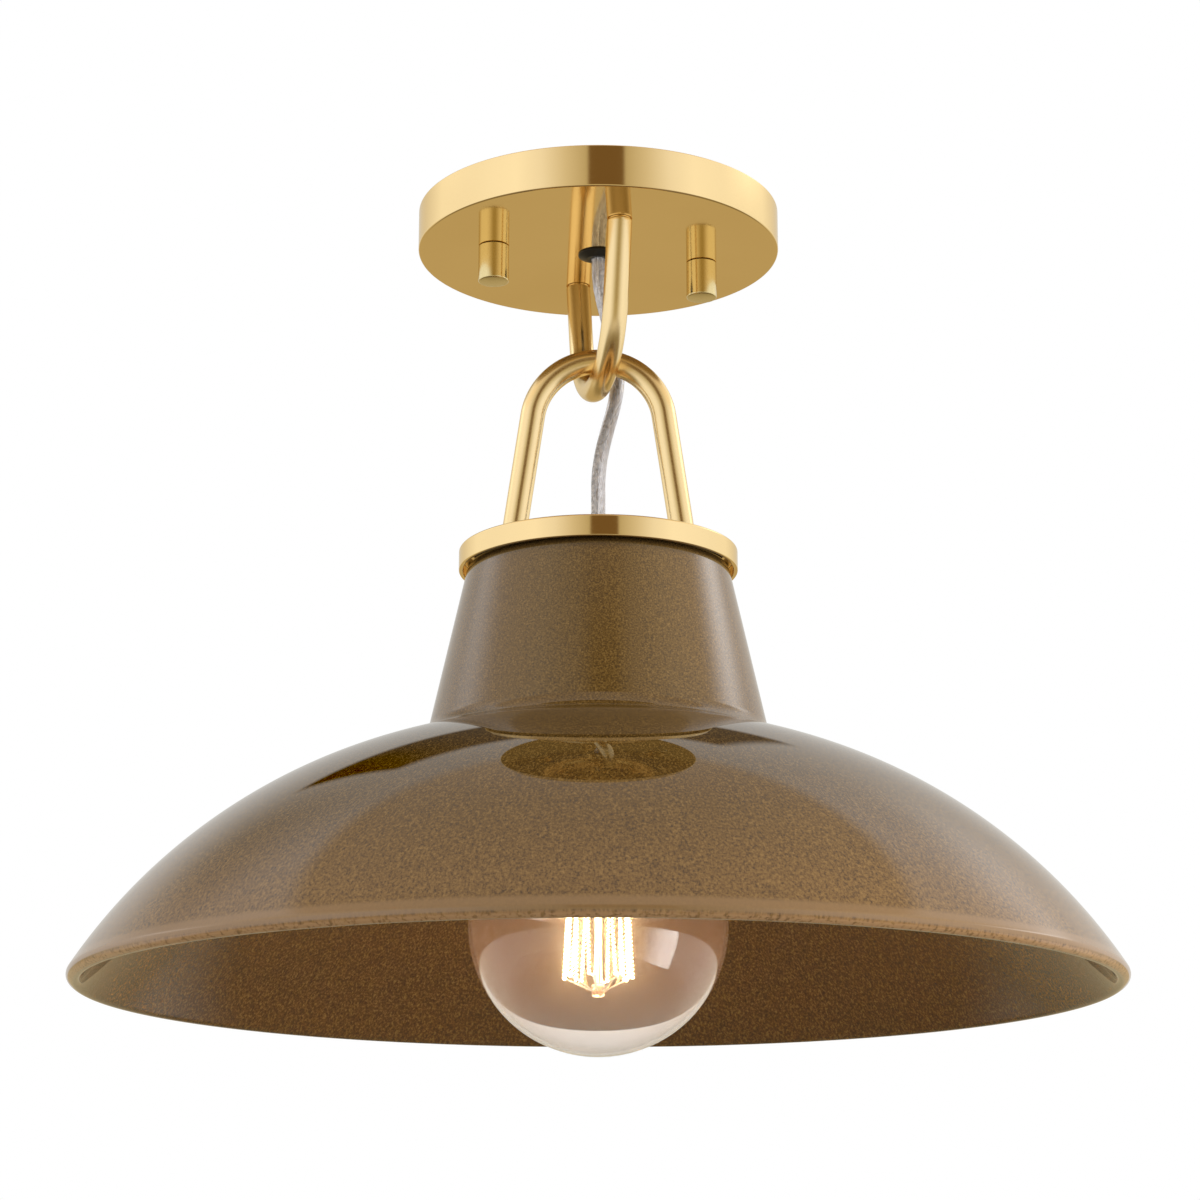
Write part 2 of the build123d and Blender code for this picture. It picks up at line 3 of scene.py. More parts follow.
import bpy
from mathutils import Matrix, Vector


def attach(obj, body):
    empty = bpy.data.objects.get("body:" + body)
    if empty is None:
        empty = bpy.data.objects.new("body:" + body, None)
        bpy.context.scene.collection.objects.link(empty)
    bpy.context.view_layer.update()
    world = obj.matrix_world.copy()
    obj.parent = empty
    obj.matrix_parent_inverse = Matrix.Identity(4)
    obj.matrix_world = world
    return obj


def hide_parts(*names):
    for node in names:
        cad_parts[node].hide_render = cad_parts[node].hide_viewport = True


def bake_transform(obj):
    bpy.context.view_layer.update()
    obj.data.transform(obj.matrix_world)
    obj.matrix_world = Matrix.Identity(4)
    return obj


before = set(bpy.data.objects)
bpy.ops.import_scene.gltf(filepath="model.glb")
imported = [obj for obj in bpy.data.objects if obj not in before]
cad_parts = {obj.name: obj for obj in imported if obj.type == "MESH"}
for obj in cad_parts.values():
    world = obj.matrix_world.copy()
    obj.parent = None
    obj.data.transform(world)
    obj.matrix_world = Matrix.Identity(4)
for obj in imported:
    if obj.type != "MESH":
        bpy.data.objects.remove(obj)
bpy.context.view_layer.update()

# Ceiling light: brass canopy, two hooked brass rods, glazed shade, clear globe bulb.
# Sizes of pieces are millimetres, places of camera and lights are metres; the ceiling is z = 0.
mm = 0.001
mergeWithin = 0.002 * mm
bailTurn = radians(-12.5)
finishes = {}
print("frame loaded:", len(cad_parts), "nodes")


# Small tools

def clearSelection():
    if bpy.context.mode != "OBJECT":
        bpy.ops.object.mode_set(mode="OBJECT")
    bpy.ops.object.select_all(action="DESELECT")


def pick(*pieces):
    clearSelection()
    for piece in pieces:
        piece.select_set(True)
    bpy.context.view_layer.objects.active = pieces[0]


def added(name, operator, **values):
    # what an adding operator makes, under its own name
    clearSelection()
    operator(**values)
    made = bpy.context.object
    made.name = name
    return made


def selectAll():
    bpy.ops.mesh.select_all(action="SELECT")


def openMesh(piece):
    pick(piece)
    bpy.ops.object.mode_set(mode="EDIT")
    selectAll()


def closeMesh():
    bpy.ops.object.mode_set(mode="OBJECT")


def extrude(move):
    bpy.ops.mesh.extrude_region_move(TRANSFORM_OT_translate={"value": move})


def settle(piece):
    # place and turn go into the mesh
    pick(piece)
    bpy.ops.object.transform_apply(location=True, rotation=True, scale=True)


def shape(piece, kind, **values):
    pick(piece)
    modifier = piece.modifiers.new(kind.lower(), kind)
    for key, value in values.items():
        setattr(modifier, key, value)
    bpy.ops.object.modifier_apply(modifier=modifier.name)


def softenEdges(piece, width, segments=3, angle=35):
    shape(piece, "BEVEL", width=width * mm, segments=segments, limit_method="ANGLE",
          angle_limit=radians(angle), harden_normals=False)


def smooth(piece, angle=32):
    pick(piece)
    bpy.ops.object.shade_smooth_by_angle(angle=radians(angle))
    shape(piece, "WEIGHTED_NORMAL", weight=50, keep_sharp=True)


def joinPieces(name, pieces):
    pick(*pieces)
    bpy.ops.object.join()
    joined = bpy.context.object
    joined.name = name
    return joined


def ownCopy(piece, name):
    # a copy with its own mesh
    pick(piece)
    bpy.ops.object.duplicate(linked=False)
    copy = bpy.context.object
    copy.name = name
    return copy


def twin(piece, name, place=(0, 0, 0), turn=(0, 0, 0)):
    # a copy turned and set down
    copy = ownCopy(piece, name)
    copy.location = Vector(place) * mm
    copy.rotation_euler = turn
    settle(copy)
    return copy


def setOut(piece, name, spots):
    # copies of a piece joined as one; each spot has a place and may have a turn
    copies = [twin(piece, name, *spot) for spot in spots]
    bpy.data.objects.remove(piece)
    return joinPieces(name, copies)


def arc(center, radius, start, end, steps):
    turns = [radians(start + (end - start) * step / steps) for step in range(steps + 1)]
    return [(center[0] + radius * cos(turn), center[1] + radius * sin(turn)) for turn in turns]


def softOutline(corners, steps=5):
    # corners are (radius, height, rounding); rounded ones become short arcs
    points = []
    for index, (across, up, rounding) in enumerate(corners):
        here = Vector((across, up))
        if not rounding:
            points.append((across, up))
            continue
        toBefore = (Vector(corners[index - 1][:2]) - here).normalized()
        toAfter = (Vector(corners[(index + 1) % len(corners)][:2]) - here).normalized()
        half = toBefore.angle(toAfter) / 2
        center = here + (toBefore + toAfter).normalized() * (rounding / sin(half))
        first = here + toBefore * (rounding / tan(half)) - center
        last = here + toAfter * (rounding / tan(half)) - center
        begin = degrees(atan2(first.y, first.x))
        sweep = degrees(atan2(last.y, last.x)) - begin
        sweep = (sweep + 180) % 360 - 180
        points += arc(center, rounding, begin, begin + sweep, steps)
    # an outline that starts on the axis stays open
    return points + points[:1] if corners[0][0] else points


def lathe(name, outline, steps):
    # one point is drawn along the outline, then spun round the axis
    piece = added(name, bpy.ops.mesh.primitive_plane_add, size=mm)
    openMesh(piece)
    bpy.ops.mesh.merge(type="CENTER")
    places = [Vector((across, 0, up)) * mm for across, up in outline]
    bpy.ops.transform.translate(value=places[0])
    for here, there in zip(places, places[1:]):
        extrude(there - here)
    selectAll()
    bpy.ops.mesh.spin(steps=steps, angle=2 * pi, center=(0, 0, 0), axis=(0, 0, 1))
    selectAll()
    bpy.ops.mesh.remove_doubles(threshold=mergeWithin)
    bpy.ops.mesh.normals_make_consistent(inside=False)
    closeMesh()
    return piece


def inWords(part, words):
    # corners written with the names of a part's sizes, or with numbers
    sizes = dict(part, inner=part["radius"] - part["wall"]) if "wall" in part else part
    return [[sizes[word] if word in sizes else float(word) for word in corner.split()] for corner in words.split(", ")]


def plainTurned(name, part):
    return lathe(name, softOutline(inWords(part, part["corners"]), part.get("rounds", 5)), part["steps"])


def turned(name, part, angle=32):
    piece = plainTurned(name, part)
    smooth(piece, angle)
    return piece


def mergedCopy(nodeName, name, edge=0.0):
    # a copy of a frame node, its loose triangles merged and its edges softened
    copy = ownCopy(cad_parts[nodeName], name)
    copy.parent = None
    for key in list(copy.keys()):
        del copy[key]
    openMesh(copy)
    bpy.ops.mesh.remove_doubles(threshold=mergeWithin)
    closeMesh()
    if edge:
        softenEdges(copy, edge, 2)
    return copy


def finishPiece(piece, finish, body, slotName, *replaced):
    piece.data.materials.clear()
    piece.data.materials.append(finishes[finish])
    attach(piece, body)
    if replaced:
        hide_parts(*replaced)
    return piece


def dressCopies(rows, angle=32):
    for node, name, edge, finish, body, slotName in rows:
        copy = mergedCopy(node, name, edge)
        smooth(copy, angle)
        finishPiece(copy, finish, body, slotName, node)


# Node helpers for the finishes

def setInputs(tree, node, feeds):
    # sockets are linked, plain values are set; colours get their alpha
    for key, source in feeds.items():
        socket = node.inputs[key]
        if isinstance(source, bpy.types.NodeSocket):
            tree.links.new(source, socket)
        else:
            socket.default_value = (*source, 1) if socket.type == "RGBA" else source


def addNode(tree, kind, setup=None, feeds=None):
    node = tree.nodes.new("ShaderNode" + kind)
    for key, value in (setup or {}).items():
        setattr(node, key, value)
    setInputs(tree, node, feeds or {})
    return node


def newGroup(name, inputs, outputs):
    group = bpy.data.node_groups.new(name, "ShaderNodeTree")
    for label, kind, value in inputs:
        socket = group.interface.new_socket(name=label, in_out="INPUT", socket_type="NodeSocket" + kind)
        socket.default_value = value
    for label, kind in outputs:
        group.interface.new_socket(name=label, in_out="OUTPUT", socket_type="NodeSocket" + kind)
    return group, group.nodes.new("NodeGroupInput"), group.nodes.new("NodeGroupOutput")


def remap(tree, value, low, high, toLow=0.0, toHigh=1.0, smoothly=False):
    kind = "SMOOTHSTEP" if smoothly else "LINEAR"
    node = addNode(tree, "MapRange", {"interpolation_type": kind},
                   {"Value": value, "From Min": low, "From Max": high, "To Min": toLow, "To Max": toHigh})
    return node.outputs["Result"]


def calculate(tree, operation, first, second=0.0):
    return addNode(tree, "Math", {"operation": operation}, {0: first, 1: second}).outputs[0]


def measure(tree, operation, *vectors):
    return addNode(tree, "VectorMath", {"operation": operation}, dict(enumerate(vectors))).outputs["Value"]


def blendColours(tree, factor, first, second, kind="MIX"):
    node = addNode(tree, "Mix", {"data_type": "RGBA", "blend_type": kind}, {0: factor, 6: first, 7: second})
    return node.outputs[2]


def blendValues(tree, factor, first, second):
    return addNode(tree, "Mix", {"data_type": "FLOAT"}, {0: factor, 2: first, 3: second}).outputs[0]


def colourRamp(tree, value, stops):
    # stops are (position, colour), from the first to the last
    ramp = addNode(tree, "ValToRGB", None, {"Fac": value})
    elements = ramp.color_ramp.elements
    elements[0].position, elements[1].position = stops[0][0], stops[-1][0]
    elements[0].color, elements[1].color = (*stops[0][1], 1), (*stops[-1][1], 1)
    for position, colour in stops[1:-1]:
        elements.new(position).color = (*colour, 1)
    return ramp.outputs["Color"]


def noise(tree, place, scale, detail, **values):
    return addNode(tree, "TexNoise", None, {"Vector": place, "Scale": scale, "Detail": detail, **values}).outputs[0]


def relief(tree, height, strength, depth):
    return addNode(tree, "Bump", None, {"Height": height, "Strength": strength, "Distance": depth * mm}).outputs[0]


def newFinish(name):
    finishes[name] = bpy.data.materials.new(name)
    finishes[name].use_nodes = True
    tree = finishes[name].node_tree
    return tree, tree.nodes["Principled BSDF"]


def objectPlace(tree):
    return addNode(tree, "TexCoord").outputs["Object"]


def useGroup(tree, group, **values):
    return addNode(tree, "Group", {"node_tree": group}, values)


# Shared effects

metalGrain, groupIn, groupOut = newGroup(
    "metalGrain",
    [("Place", "Vector", (0, 0, 0)), ("Stretch", "Vector", (1, 1, 1)), ("Fine", "Float", 900.0),
     ("Broad", "Float", 14.0)],
    [("Grain", "Float"), ("Cloud", "Float")])
place = groupIn.outputs["Place"]
stretched = addNode(metalGrain, "Mapping", None, {"Vector": place, "Scale": groupIn.outputs["Stretch"]}).outputs[0]
fineNoise = noise(metalGrain, stretched, groupIn.outputs["Fine"], 4.0, Roughness=0.65)
metalGrain.links.new(fineNoise, groupOut.inputs["Grain"])
metalGrain.links.new(noise(metalGrain, place, groupIn.outputs["Broad"], 3.0), groupOut.inputs["Cloud"])

mouldGrain, groupIn, groupOut = newGroup(
    "mouldGrain",
    [("Place", "Vector", (0, 0, 0)), ("Fine", "Float", 1400.0), ("Broad", "Float", 60.0)],
    [("Grain", "Float"), ("Patch", "Float")])
place = groupIn.outputs["Place"]
pebble = addNode(mouldGrain, "TexVoronoi", None, {"Vector": place, "Scale": groupIn.outputs["Fine"]})
mouldGrain.links.new(pebble.outputs["Distance"], groupOut.inputs["Grain"])
mouldGrain.links.new(noise(mouldGrain, place, groupIn.outputs["Broad"], 4.0), groupOut.inputs["Patch"])

warmGlow, groupIn, groupOut = newGroup(
    "warmGlow",
    [("Place", "Vector", (0, 0, 0)), ("Middle", "Float", -0.274), ("Reach", "Float", 0.04),
     ("Colour", "Color", (1.0, 0.45, 0.2, 1))],
    [("Glow", "Color")])
glowLevel = addNode(warmGlow, "SeparateXYZ", None, {0: groupIn.outputs["Place"]}).outputs["Z"]
glowOff = calculate(warmGlow, "SUBTRACT", glowLevel, groupIn.outputs["Middle"])
glowOff = calculate(warmGlow, "DIVIDE", calculate(warmGlow, "ABSOLUTE", glowOff), groupIn.outputs["Reach"])
glowShare = remap(warmGlow, glowOff, 0.0, 1.0, 1.0, 0.0, True)
glowColour = blendColours(warmGlow, glowShare, (0, 0, 0), groupIn.outputs["Colour"])
warmGlow.links.new(glowColour, groupOut.inputs["Glow"])
print("shared effects ready")


# Finishes

# pale and deep tone, smoothest and roughest, scale of the grain and of the clouds, relief, stretch along z
metalLooks = {
    "satinBrass": ((0.865, 0.66, 0.345), (0.835, 0.63, 0.32), 0.06, 0.1, 500, 14, 0.012, 5),
    "rodBrass": ((0.865, 0.675, 0.37), (0.835, 0.645, 0.345), 0.2, 0.26, 500, 14, 0.012, 5),
    "nutBrass": ((0.74, 0.61, 0.32), (0.71, 0.58, 0.295), 0.16, 0.21, 500, 14, 0.012, 5),
    "plainBrass": ((0.74, 0.53, 0.24), (0.62, 0.43, 0.19), 0.22, 0.36, 900, 60, 0.2, 3),
    "zincSteel": ((0.66, 0.67, 0.69), (0.54, 0.55, 0.57), 0.24, 0.42, 700, 90, 0.25, 1),
    "rolledAluminium": ((0.80, 0.79, 0.77), (0.72, 0.71, 0.69), 0.2, 0.34, 700, 80, 0.15, 4),
    "tinSolder": ((0.70, 0.70, 0.71), (0.58, 0.58, 0.59), 0.28, 0.5, 500, 300, 0.5, 1),
    "drawnWire": ((0.60, 0.58, 0.55), (0.50, 0.48, 0.46), 0.25, 0.35, 1500, 200, 0.1, 0.3),
    "tinnedStrand": ((0.99, 0.98, 0.99), (0.92, 0.90, 0.91), 0.3, 0.45, 1200, 260, 0.1, 0.4),
    "dullStrand": ((0.74, 0.66, 0.58), (0.08, 0.055, 0.035), 0.3, 0.45, 1200, 650, 0.1, 0.4)}
edgeTints = {"satinBrass": (0.95, 0.88, 0.74), "rodBrass": (0.95, 0.88, 0.74)}
# the same, with the shine in place of the stretch
plasticLooks = {
    "blackPlastic": ((0.014, 0.013, 0.012), (0.009, 0.009, 0.009), 0.3, 0.42, 1800, 70, 0.25, 0.3),
    "connectorOrange": ((0.80, 0.30, 0.05), (0.70, 0.24, 0.04), 0.4, 0.52, 1500, 90, 0.3, 0.5),
    "naturalNylon": ((0.82, 0.79, 0.70), (0.76, 0.72, 0.62), 0.35, 0.45, 1500, 200, 0.15, 0.5),
    "gasketRubber": ((0.045, 0.044, 0.043), (0.03, 0.03, 0.03), 0.7, 0.85, 1200, 120, 0.5, 0.3),
    "redFibre": ((0.42, 0.12, 0.08), (0.30, 0.08, 0.05), 0.75, 0.9, 900, 300, 0.6, 0.25),
    "greenLacquer": ((0.05, 0.30, 0.11), (0.035, 0.22, 0.08), 0.22, 0.35, 900, 150, 0.1, 0.5),
    "baseBlackGlass": ((0.035, 0.028, 0.035), (0.02, 0.018, 0.022), 0.12, 0.2, 600, 120, 0.1, 0.5),
    "leadWhite": ((0.80, 0.79, 0.76), (0.72, 0.71, 0.67), 0.4, 0.5, 1500, 150, 0.1, 0.5),
    "leadBlack": ((0.03, 0.03, 0.03), (0.02, 0.02, 0.02), 0.4, 0.5, 1500, 150, 0.1, 0.5),
    "leadGreen": ((0.06, 0.28, 0.10), (0.045, 0.22, 0.08), 0.4, 0.5, 1500, 150, 0.1, 0.5)}


def grainedFinish(name, group, look, tone, gloss, depth, plain, **shaping):
    # tone and gloss name the group's masks, its grain gives the relief
    pale, deep, smoothest, roughest, fine, broad, raised = look
    tree, shader = newFinish(name)
    grain = useGroup(tree, group, Place=objectPlace(tree), Fine=fine, Broad=broad, **shaping)
    share = remap(tree, grain.outputs[tone], 0.35, 0.65)
    setInputs(tree, shader, {
        "Base Color": blendColours(tree, share, deep, pale),
        "Roughness": remap(tree, grain.outputs[gloss], 0.3, 0.7, smoothest, roughest),
        "Normal": relief(tree, grain.outputs["Grain"], raised, depth), **plain})


for name, (*look, stretch) in metalLooks.items():
    plain = {"Metallic": 1.0, "Specular Tint": edgeTints.get(name, (1, 1, 1))}
    grainedFinish(name, metalGrain, look, "Cloud", "Grain", 0.02, plain, Stretch=(1, 1, stretch))
for name, (*look, shine) in plasticLooks.items():
    grainedFinish(name, mouldGrain, look, "Patch", "Patch", 0.05, {"Specular IOR Level": shine})


def glazeFinish():
    look = {"neck": (0.112, 0.058, 0.012), "upper": (0.064, 0.032, 0.005), "middle": (0.106, 0.053, 0.010),
            "lower": (0.162, 0.084, 0.025), "levels": (-205, -216, -262, -291), "deepest": -303, "sway": 10,
            "inside": (0.098, 0.045, 0.0135), "arcCenter": (23.6, -402.7), "shell": (193.4, 195.4),
            "waist": (-210, -211), "rings": (58, 130), "drawn": (0.9, 0.4), "fine": 1500, "drift": 16,
            "pit": (0.026, 0.015, 0.009), "pitShare": 0.78, "fleck": (0.36, 0.21, 0.065), "fleckShare": 0.5,
            "capShadow": (0.018, 0.010, 0.004), "capShadowFrom": (-148.4, -144.6), "capShadowShare": 0.7,
            "lipCenter": (188.6, -300.05), "edge": (0.235, 0.134, 0.056), "tanHighlightFrom": (-295.2, -297.2),
            "tanHighlightShare": 0.85, "tanHighlightTurn": (-18, -10), "lipOrange": (0.40, 0.225, 0.105), "lipOrangeShare": 0.9,
            "lipOrangeTurn": (-10, -40), "lipOrangeEnd": (-90, -76), "spots": 700, "paleHighlight": (0.50, 0.40, 0.26), "paleHighlightShare": 0.5,
            "paleHighlightTurn": (-74, -84), "paleHighlightEnd": (-100, -90), "roughness": (0.4, 0.52), "raised": 0.06,
            "coatRoughness": 0.025, "coatBends": 1.6}
    tree, shader = newFinish("brownGlaze")
    place = objectPlace(tree)
    parts = addNode(tree, "SeparateXYZ", None, {0: place})
    height = parts.outputs["Z"]

    def times(first, second):
        return calculate(tree, "MULTIPLY", first, second)

    def past(value, level):
        return calculate(tree, "SUBTRACT", value, level * mm)

    def byHeight(levels, values, smoothly=False):
        return remap(tree, height, levels[0] * mm, levels[1] * mm, *values, smoothly)

    def byLip(turns, full=1.0):
        return remap(tree, lipTurn, *turns, 0.0, full)

    flat = addNode(tree, "CombineXYZ", None, {0: parts.outputs["X"], 1: parts.outputs["Y"]}).outputs[0]
    across = measure(tree, "LENGTH", flat)
    # flecks are drawn out downhill, as the glaze ran
    outwards = addNode(tree, "VectorMath", {"operation": "NORMALIZE"}, {0: flat}).outputs[0]
    ring = byHeight(look["waist"], [radius * mm for radius in look["rings"]])
    around = addNode(tree, "VectorMath", {"operation": "SCALE"}, {0: outwards, "Scale": ring}).outputs[0]
    downhill = times(calculate(tree, "SUBTRACT", across, height), byHeight(look["waist"], look["drawn"]))
    downhill = addNode(tree, "CombineXYZ", None, {2: downhill}).outputs[0]
    run = addNode(tree, "VectorMath", {"operation": "ADD"}, {0: around, 1: downhill}).outputs[0]
    fine = noise(tree, run, look["fine"], 2.0, Roughness=0.8)
    fleck = remap(tree, fine, 0.5, 0.72)
    pit = remap(tree, fine, 0.5, 0.3)
    drift = noise(tree, place, look["drift"], 5.0, Roughness=0.6)
    # dark over the dome's top, lighter further down
    sway = times(calculate(tree, "SUBTRACT", drift, 0.5), look["sway"] * mm)
    drop = remap(tree, calculate(tree, "ADD", height, sway), 0.0, look["deepest"] * mm, 0.0, 1.0)
    tones = [look[name] for name in ("neck", "upper", "middle", "lower")]
    outside = colourRamp(tree, drop, list(zip([level / look["deepest"] for level in look["levels"]], tones)))
    # the bowl's inner face has one tone; how far out a point lies in the wall tells the faces apart
    aside, above = past(across, look["arcCenter"][0]), past(height, look["arcCenter"][1])
    shell = measure(tree, "LENGTH", addNode(tree, "CombineXYZ", None, {0: aside, 1: above}).outputs[0])
    outer = remap(tree, shell, look["shell"][0] * mm, look["shell"][1] * mm, 0.0, 1.0, True)
    body = blendColours(tree, outer, look["inside"], outside)
    body = blendColours(tree, times(pit, look["pitShare"]), body, look["pit"])
    body = blendColours(tree, times(fleck, look["fleckShare"]), body, look["fleck"])
    # painted shadow: the neck's colour is darkened just under the cap, where the cap's shade falls
    capShadow = byHeight(look["capShadowFrom"], (0.0, look["capShadowShare"]), True)
    body = blendColours(tree, capShadow, body, look["capShadow"])
    # round the lip, by degrees: a painted tan highlight on the outer edge, a spotted orange band under it, a painted
    # pale highlight line at its foot
    lipTurn = calculate(tree, "ARCTAN2", past(height, look["lipCenter"][1]), past(across, look["lipCenter"][0]))
    lipTurn = calculate(tree, "DEGREES", lipTurn)
    # painted highlight: tan colour where the lip's rounding would mirror the bright horizon
    edge = byHeight(look["tanHighlightFrom"], (0.0, look["tanHighlightShare"]), True)
    edge = times(edge, times(outer, byLip(look["tanHighlightTurn"])))
    body = blendColours(tree, edge, body, look["edge"])
    # an orange band with spots round the lip, under the tan
    lipOrange = times(byLip(look["lipOrangeTurn"], look["lipOrangeShare"]), byLip(look["lipOrangeEnd"]))
    lipOrange = times(lipOrange, remap(tree, noise(tree, place, look["spots"], 2.0), 0.35, 0.5, 0.3, 1.0))
    body = blendColours(tree, lipOrange, body, look["lipOrange"])
    # painted highlight: a pale line along the lip's inner foot
    paleHighlight = times(byLip(look["paleHighlightTurn"], look["paleHighlightShare"]), byLip(look["paleHighlightEnd"]))
    paleHighlight = times(paleHighlight, remap(tree, drift, 0.4, 0.6, 0.2, 1.0))
    setInputs(tree, shader, {
        "Base Color": blendColours(tree, paleHighlight, body, look["paleHighlight"]),
        "Roughness": remap(tree, drift, 0.3, 0.7, *look["roughness"]),
        "Normal": relief(tree, fleck, look["raised"], 0.02), "Specular IOR Level": 0.0, "Coat Weight": 1.0,
        "Coat Roughness": look["coatRoughness"], "Coat IOR": look["coatBends"]})


def glassFinish(name, look):
    tree, shader = newFinish(name)
    place = objectPlace(tree)
    grain = useGroup(tree, metalGrain, Place=place, Stretch=look.get("stretch", (1, 1, 1)),
                     Fine=look.get("fine", 60.0), Broad=20.0)
    tone = grain.outputs["Cloud"]
    if "stretch" in look:
        tone = remap(tree, grain.outputs["Grain"], 0.37, 0.47)
    roughness = remap(tree, grain.outputs["Grain"], 0.3, 0.7, look["smooth"], look["rough"])
    if "dust" in look:
        specks = noise(tree, place, look["specks"], 1.0)
        roughness = calculate(tree, "ADD", roughness, remap(tree, specks, *look["dust"], 0.0, look["speckRough"]))
    setInputs(tree, shader, {
        "Base Color": blendColours(tree, tone, look["deep"], look["pale"]), "Roughness": roughness,
        "Transmission Weight": look["clear"], "IOR": look["bends"]})
    if "glow" in look:
        glow = useGroup(tree, warmGlow, Place=place, Middle=look["middle"] * mm, Reach=look["reach"] * mm)
        setInputs(tree, shader, {"Emission Color": glow.outputs["Glow"], "Emission Strength": look["glow"]})


def filamentFinish():
    look = {"warm": (1.0, 0.66, 0.30), "hot": (1.0, 0.80, 0.50), "deep": (0.9, 0.6, 0.3), "pale": (1.0, 0.8, 0.5),
            "power": 80.0}
    tree, shader = newFinish("glowingFilament")
    grain = useGroup(tree, metalGrain, Place=objectPlace(tree), Stretch=(1, 1, 1), Fine=400.0, Broad=90.0)
    setInputs(tree, shader, {
        "Emission Color": blendColours(tree, grain.outputs["Cloud"], look["warm"], look["hot"]),
        "Base Color": blendColours(tree, grain.outputs["Grain"], look["deep"], look["pale"]),
        "Emission Strength": look["power"]})


glassLooks = {
    "clearGlass": {"pale": (0.99, 0.96, 0.92), "deep": (0.98, 0.945, 0.90), "smooth": 0.0, "rough": 0.01, "clear": 1.0,
                   "bends": 1.46, "dust": (0.644, 0.664), "specks": 20000, "speckRough": 0.6, "glow": 0.04,
                   "middle": -291, "reach": 44},
    "stemGlass": {"pale": (0.98, 0.98, 0.97), "deep": (0.95, 0.95, 0.94), "smooth": 0.0, "rough": 0.03, "clear": 1.0,
                  "bends": 1.5, "glow": 3.0, "middle": -274, "reach": 34},
    "clearJacket": {"pale": (0.995, 0.985, 0.995), "deep": (0.70, 0.63, 0.58), "smooth": 0.04, "rough": 0.12,
                    "clear": 0.74, "bends": 1.42, "stretch": (1, 1, 0.1), "fine": 1300}}
glazeFinish()
for name, look in glassLooks.items():
    glassFinish(name, look)
filamentFinish()
print("finishes ready")


# Camera at the photograph's angle

viewPoint = {"place": (-0.23384, -1.05479, -0.4342), "tilt": 104.5, "turn": -12.5, "lens": 88.77, "sensor": 36,
             "shift": 0.0014, "nearest": 0.02}
photoCamera = added("photoCamera", bpy.ops.object.camera_add, location=viewPoint["place"],
                    rotation=(radians(viewPoint["tilt"]), 0, radians(viewPoint["turn"])))
photoCamera.data.lens = viewPoint["lens"]
photoCamera.data.sensor_width = viewPoint["sensor"]
photoCamera.data.shift_x = viewPoint["shift"]
photoCamera.data.clip_start = viewPoint["nearest"]
bpy.context.scene.camera = photoCamera


# Cord: a clear jacket over two twisted wires, from the bushing to the grip

cord = {"route": [(0, 0, -18.2), (0, 0, -24.7), (1.6, 1.5, -33), (5.2, 5, -42.5), (8.4, 8.2, -52),
                  (10.3, 10.2, -62.5), (8.6, 9, -73.5), (5.2, 6.4, -84.5), (2, 3.4, -95.5), (0.2, 1.2, -106),
                  (0, 0, -116), (0, 0, -125.1)],
        "samples": 14, "thickness": 5.4, "split": -65.0, "sides": 24, "cores": 2, "wires": 12, "coreOffset": 1.2,
        "coreTurn": 150.0, "coreStart": 150.0, "wireOffset": 0.92, "wireTurn": 26.0, "wireThickness": 0.5,
        "wireSides": 8, "heart": 1.5}


def curveFrom(name, kind, lines):
    curve = bpy.data.curves.new(name, "CURVE")
    curve.dimensions = "3D"
    for points in lines:
        spline = curve.splines.new(kind)
        spline.points.add(len(points) - 1)
        for point, place in zip(spline.points, points):
            point.co = (*place, 1)
    holder = bpy.data.objects.new(name, curve)
    bpy.context.scene.collection.objects.link(holder)
    return holder


def routePoints(route, samples):
    holder = curveFrom("cordLine", "NURBS", [[Vector(place) * mm for place in route]])
    spline = holder.data.splines[0]
    spline.order_u = 3
    spline.use_endpoint_u = True
    spline.resolution_u = samples
    bpy.context.view_layer.update()
    mesh = bpy.data.meshes.new_from_object(holder.evaluated_get(bpy.context.evaluated_depsgraph_get()))
    points = [vertex.co.copy() for vertex in mesh.vertices]
    bpy.data.objects.remove(holder)
    bpy.data.meshes.remove(mesh)
    return points


def tubeFrom(name, lines, thickness, sides):
    # round tubes along the given lines, as one mesh
    tube = curveFrom(name, "POLY", lines)
    tube.data.bevel_depth = thickness * mm / 2
    tube.data.bevel_resolution = max(1, sides // 4 - 1)
    tube.data.use_fill_caps = True
    pick(tube)
    bpy.ops.object.convert(target="MESH")
    bpy.ops.object.shade_smooth_by_angle(angle=radians(50))
    return bpy.context.object


def twisted(points, offsets):
    # a line that winds round the points: each offset is (radius, turn length, start angle)
    side = Vector((1, 0, 0))
    travelled = 0.0
    line = []
    for index, here in enumerate(points):
        before = points[max(index - 1, 0)]
        after = points[min(index + 1, len(points) - 1)]
        travelled += (here - before).length
        along = (after - before).normalized()
        side = (side - along * side.dot(along)).normalized()
        other = along.cross(side)
        place = here.copy()
        for radius, turnLength, start in offsets:
            turn = start + 2 * pi * travelled / (turnLength * mm)
            place += (side * cos(turn) + other * sin(turn)) * (radius * mm)
        line.append(place)
    return line


def pathLength(points):
    return sum((there - here).length for here, there in zip(points, points[1:]))


cordLine = routePoints(cord["route"], cord["samples"])
splitAt = min(range(len(cordLine)), key=lambda index: abs(cordLine[index].z - cord["split"] * mm))
wireLines = {}
for core in range(cord["cores"]):
    coreStart = radians(cord["coreStart"]) + pi * core
    coreWinding = (cord["coreOffset"], cord["coreTurn"], coreStart)
    for wire in range(cord["wires"]):
        around = 2 * pi * wire / cord["wires"]
        wireWinding = (cord["wireOffset"], cord["wireTurn"], around)
        wireLines[core, wire] = twisted(cordLine, [coreWinding, wireWinding])
    wireLines[core, "heart"] = twisted(cordLine, [coreWinding])
cordHalves = {
    "upper": {"part": slice(0, splitAt + 1), "bodies": ("ceiling", "swing_link"),
              "from": (0, 0, -0.0182), "to": (0, 0, -0.065)},
    "lower": {"part": slice(splitAt, None), "bodies": ("swing_link", "lamp"),
              "from": (0, 0, -0.065), "to": (0, 0, -0.125)}}
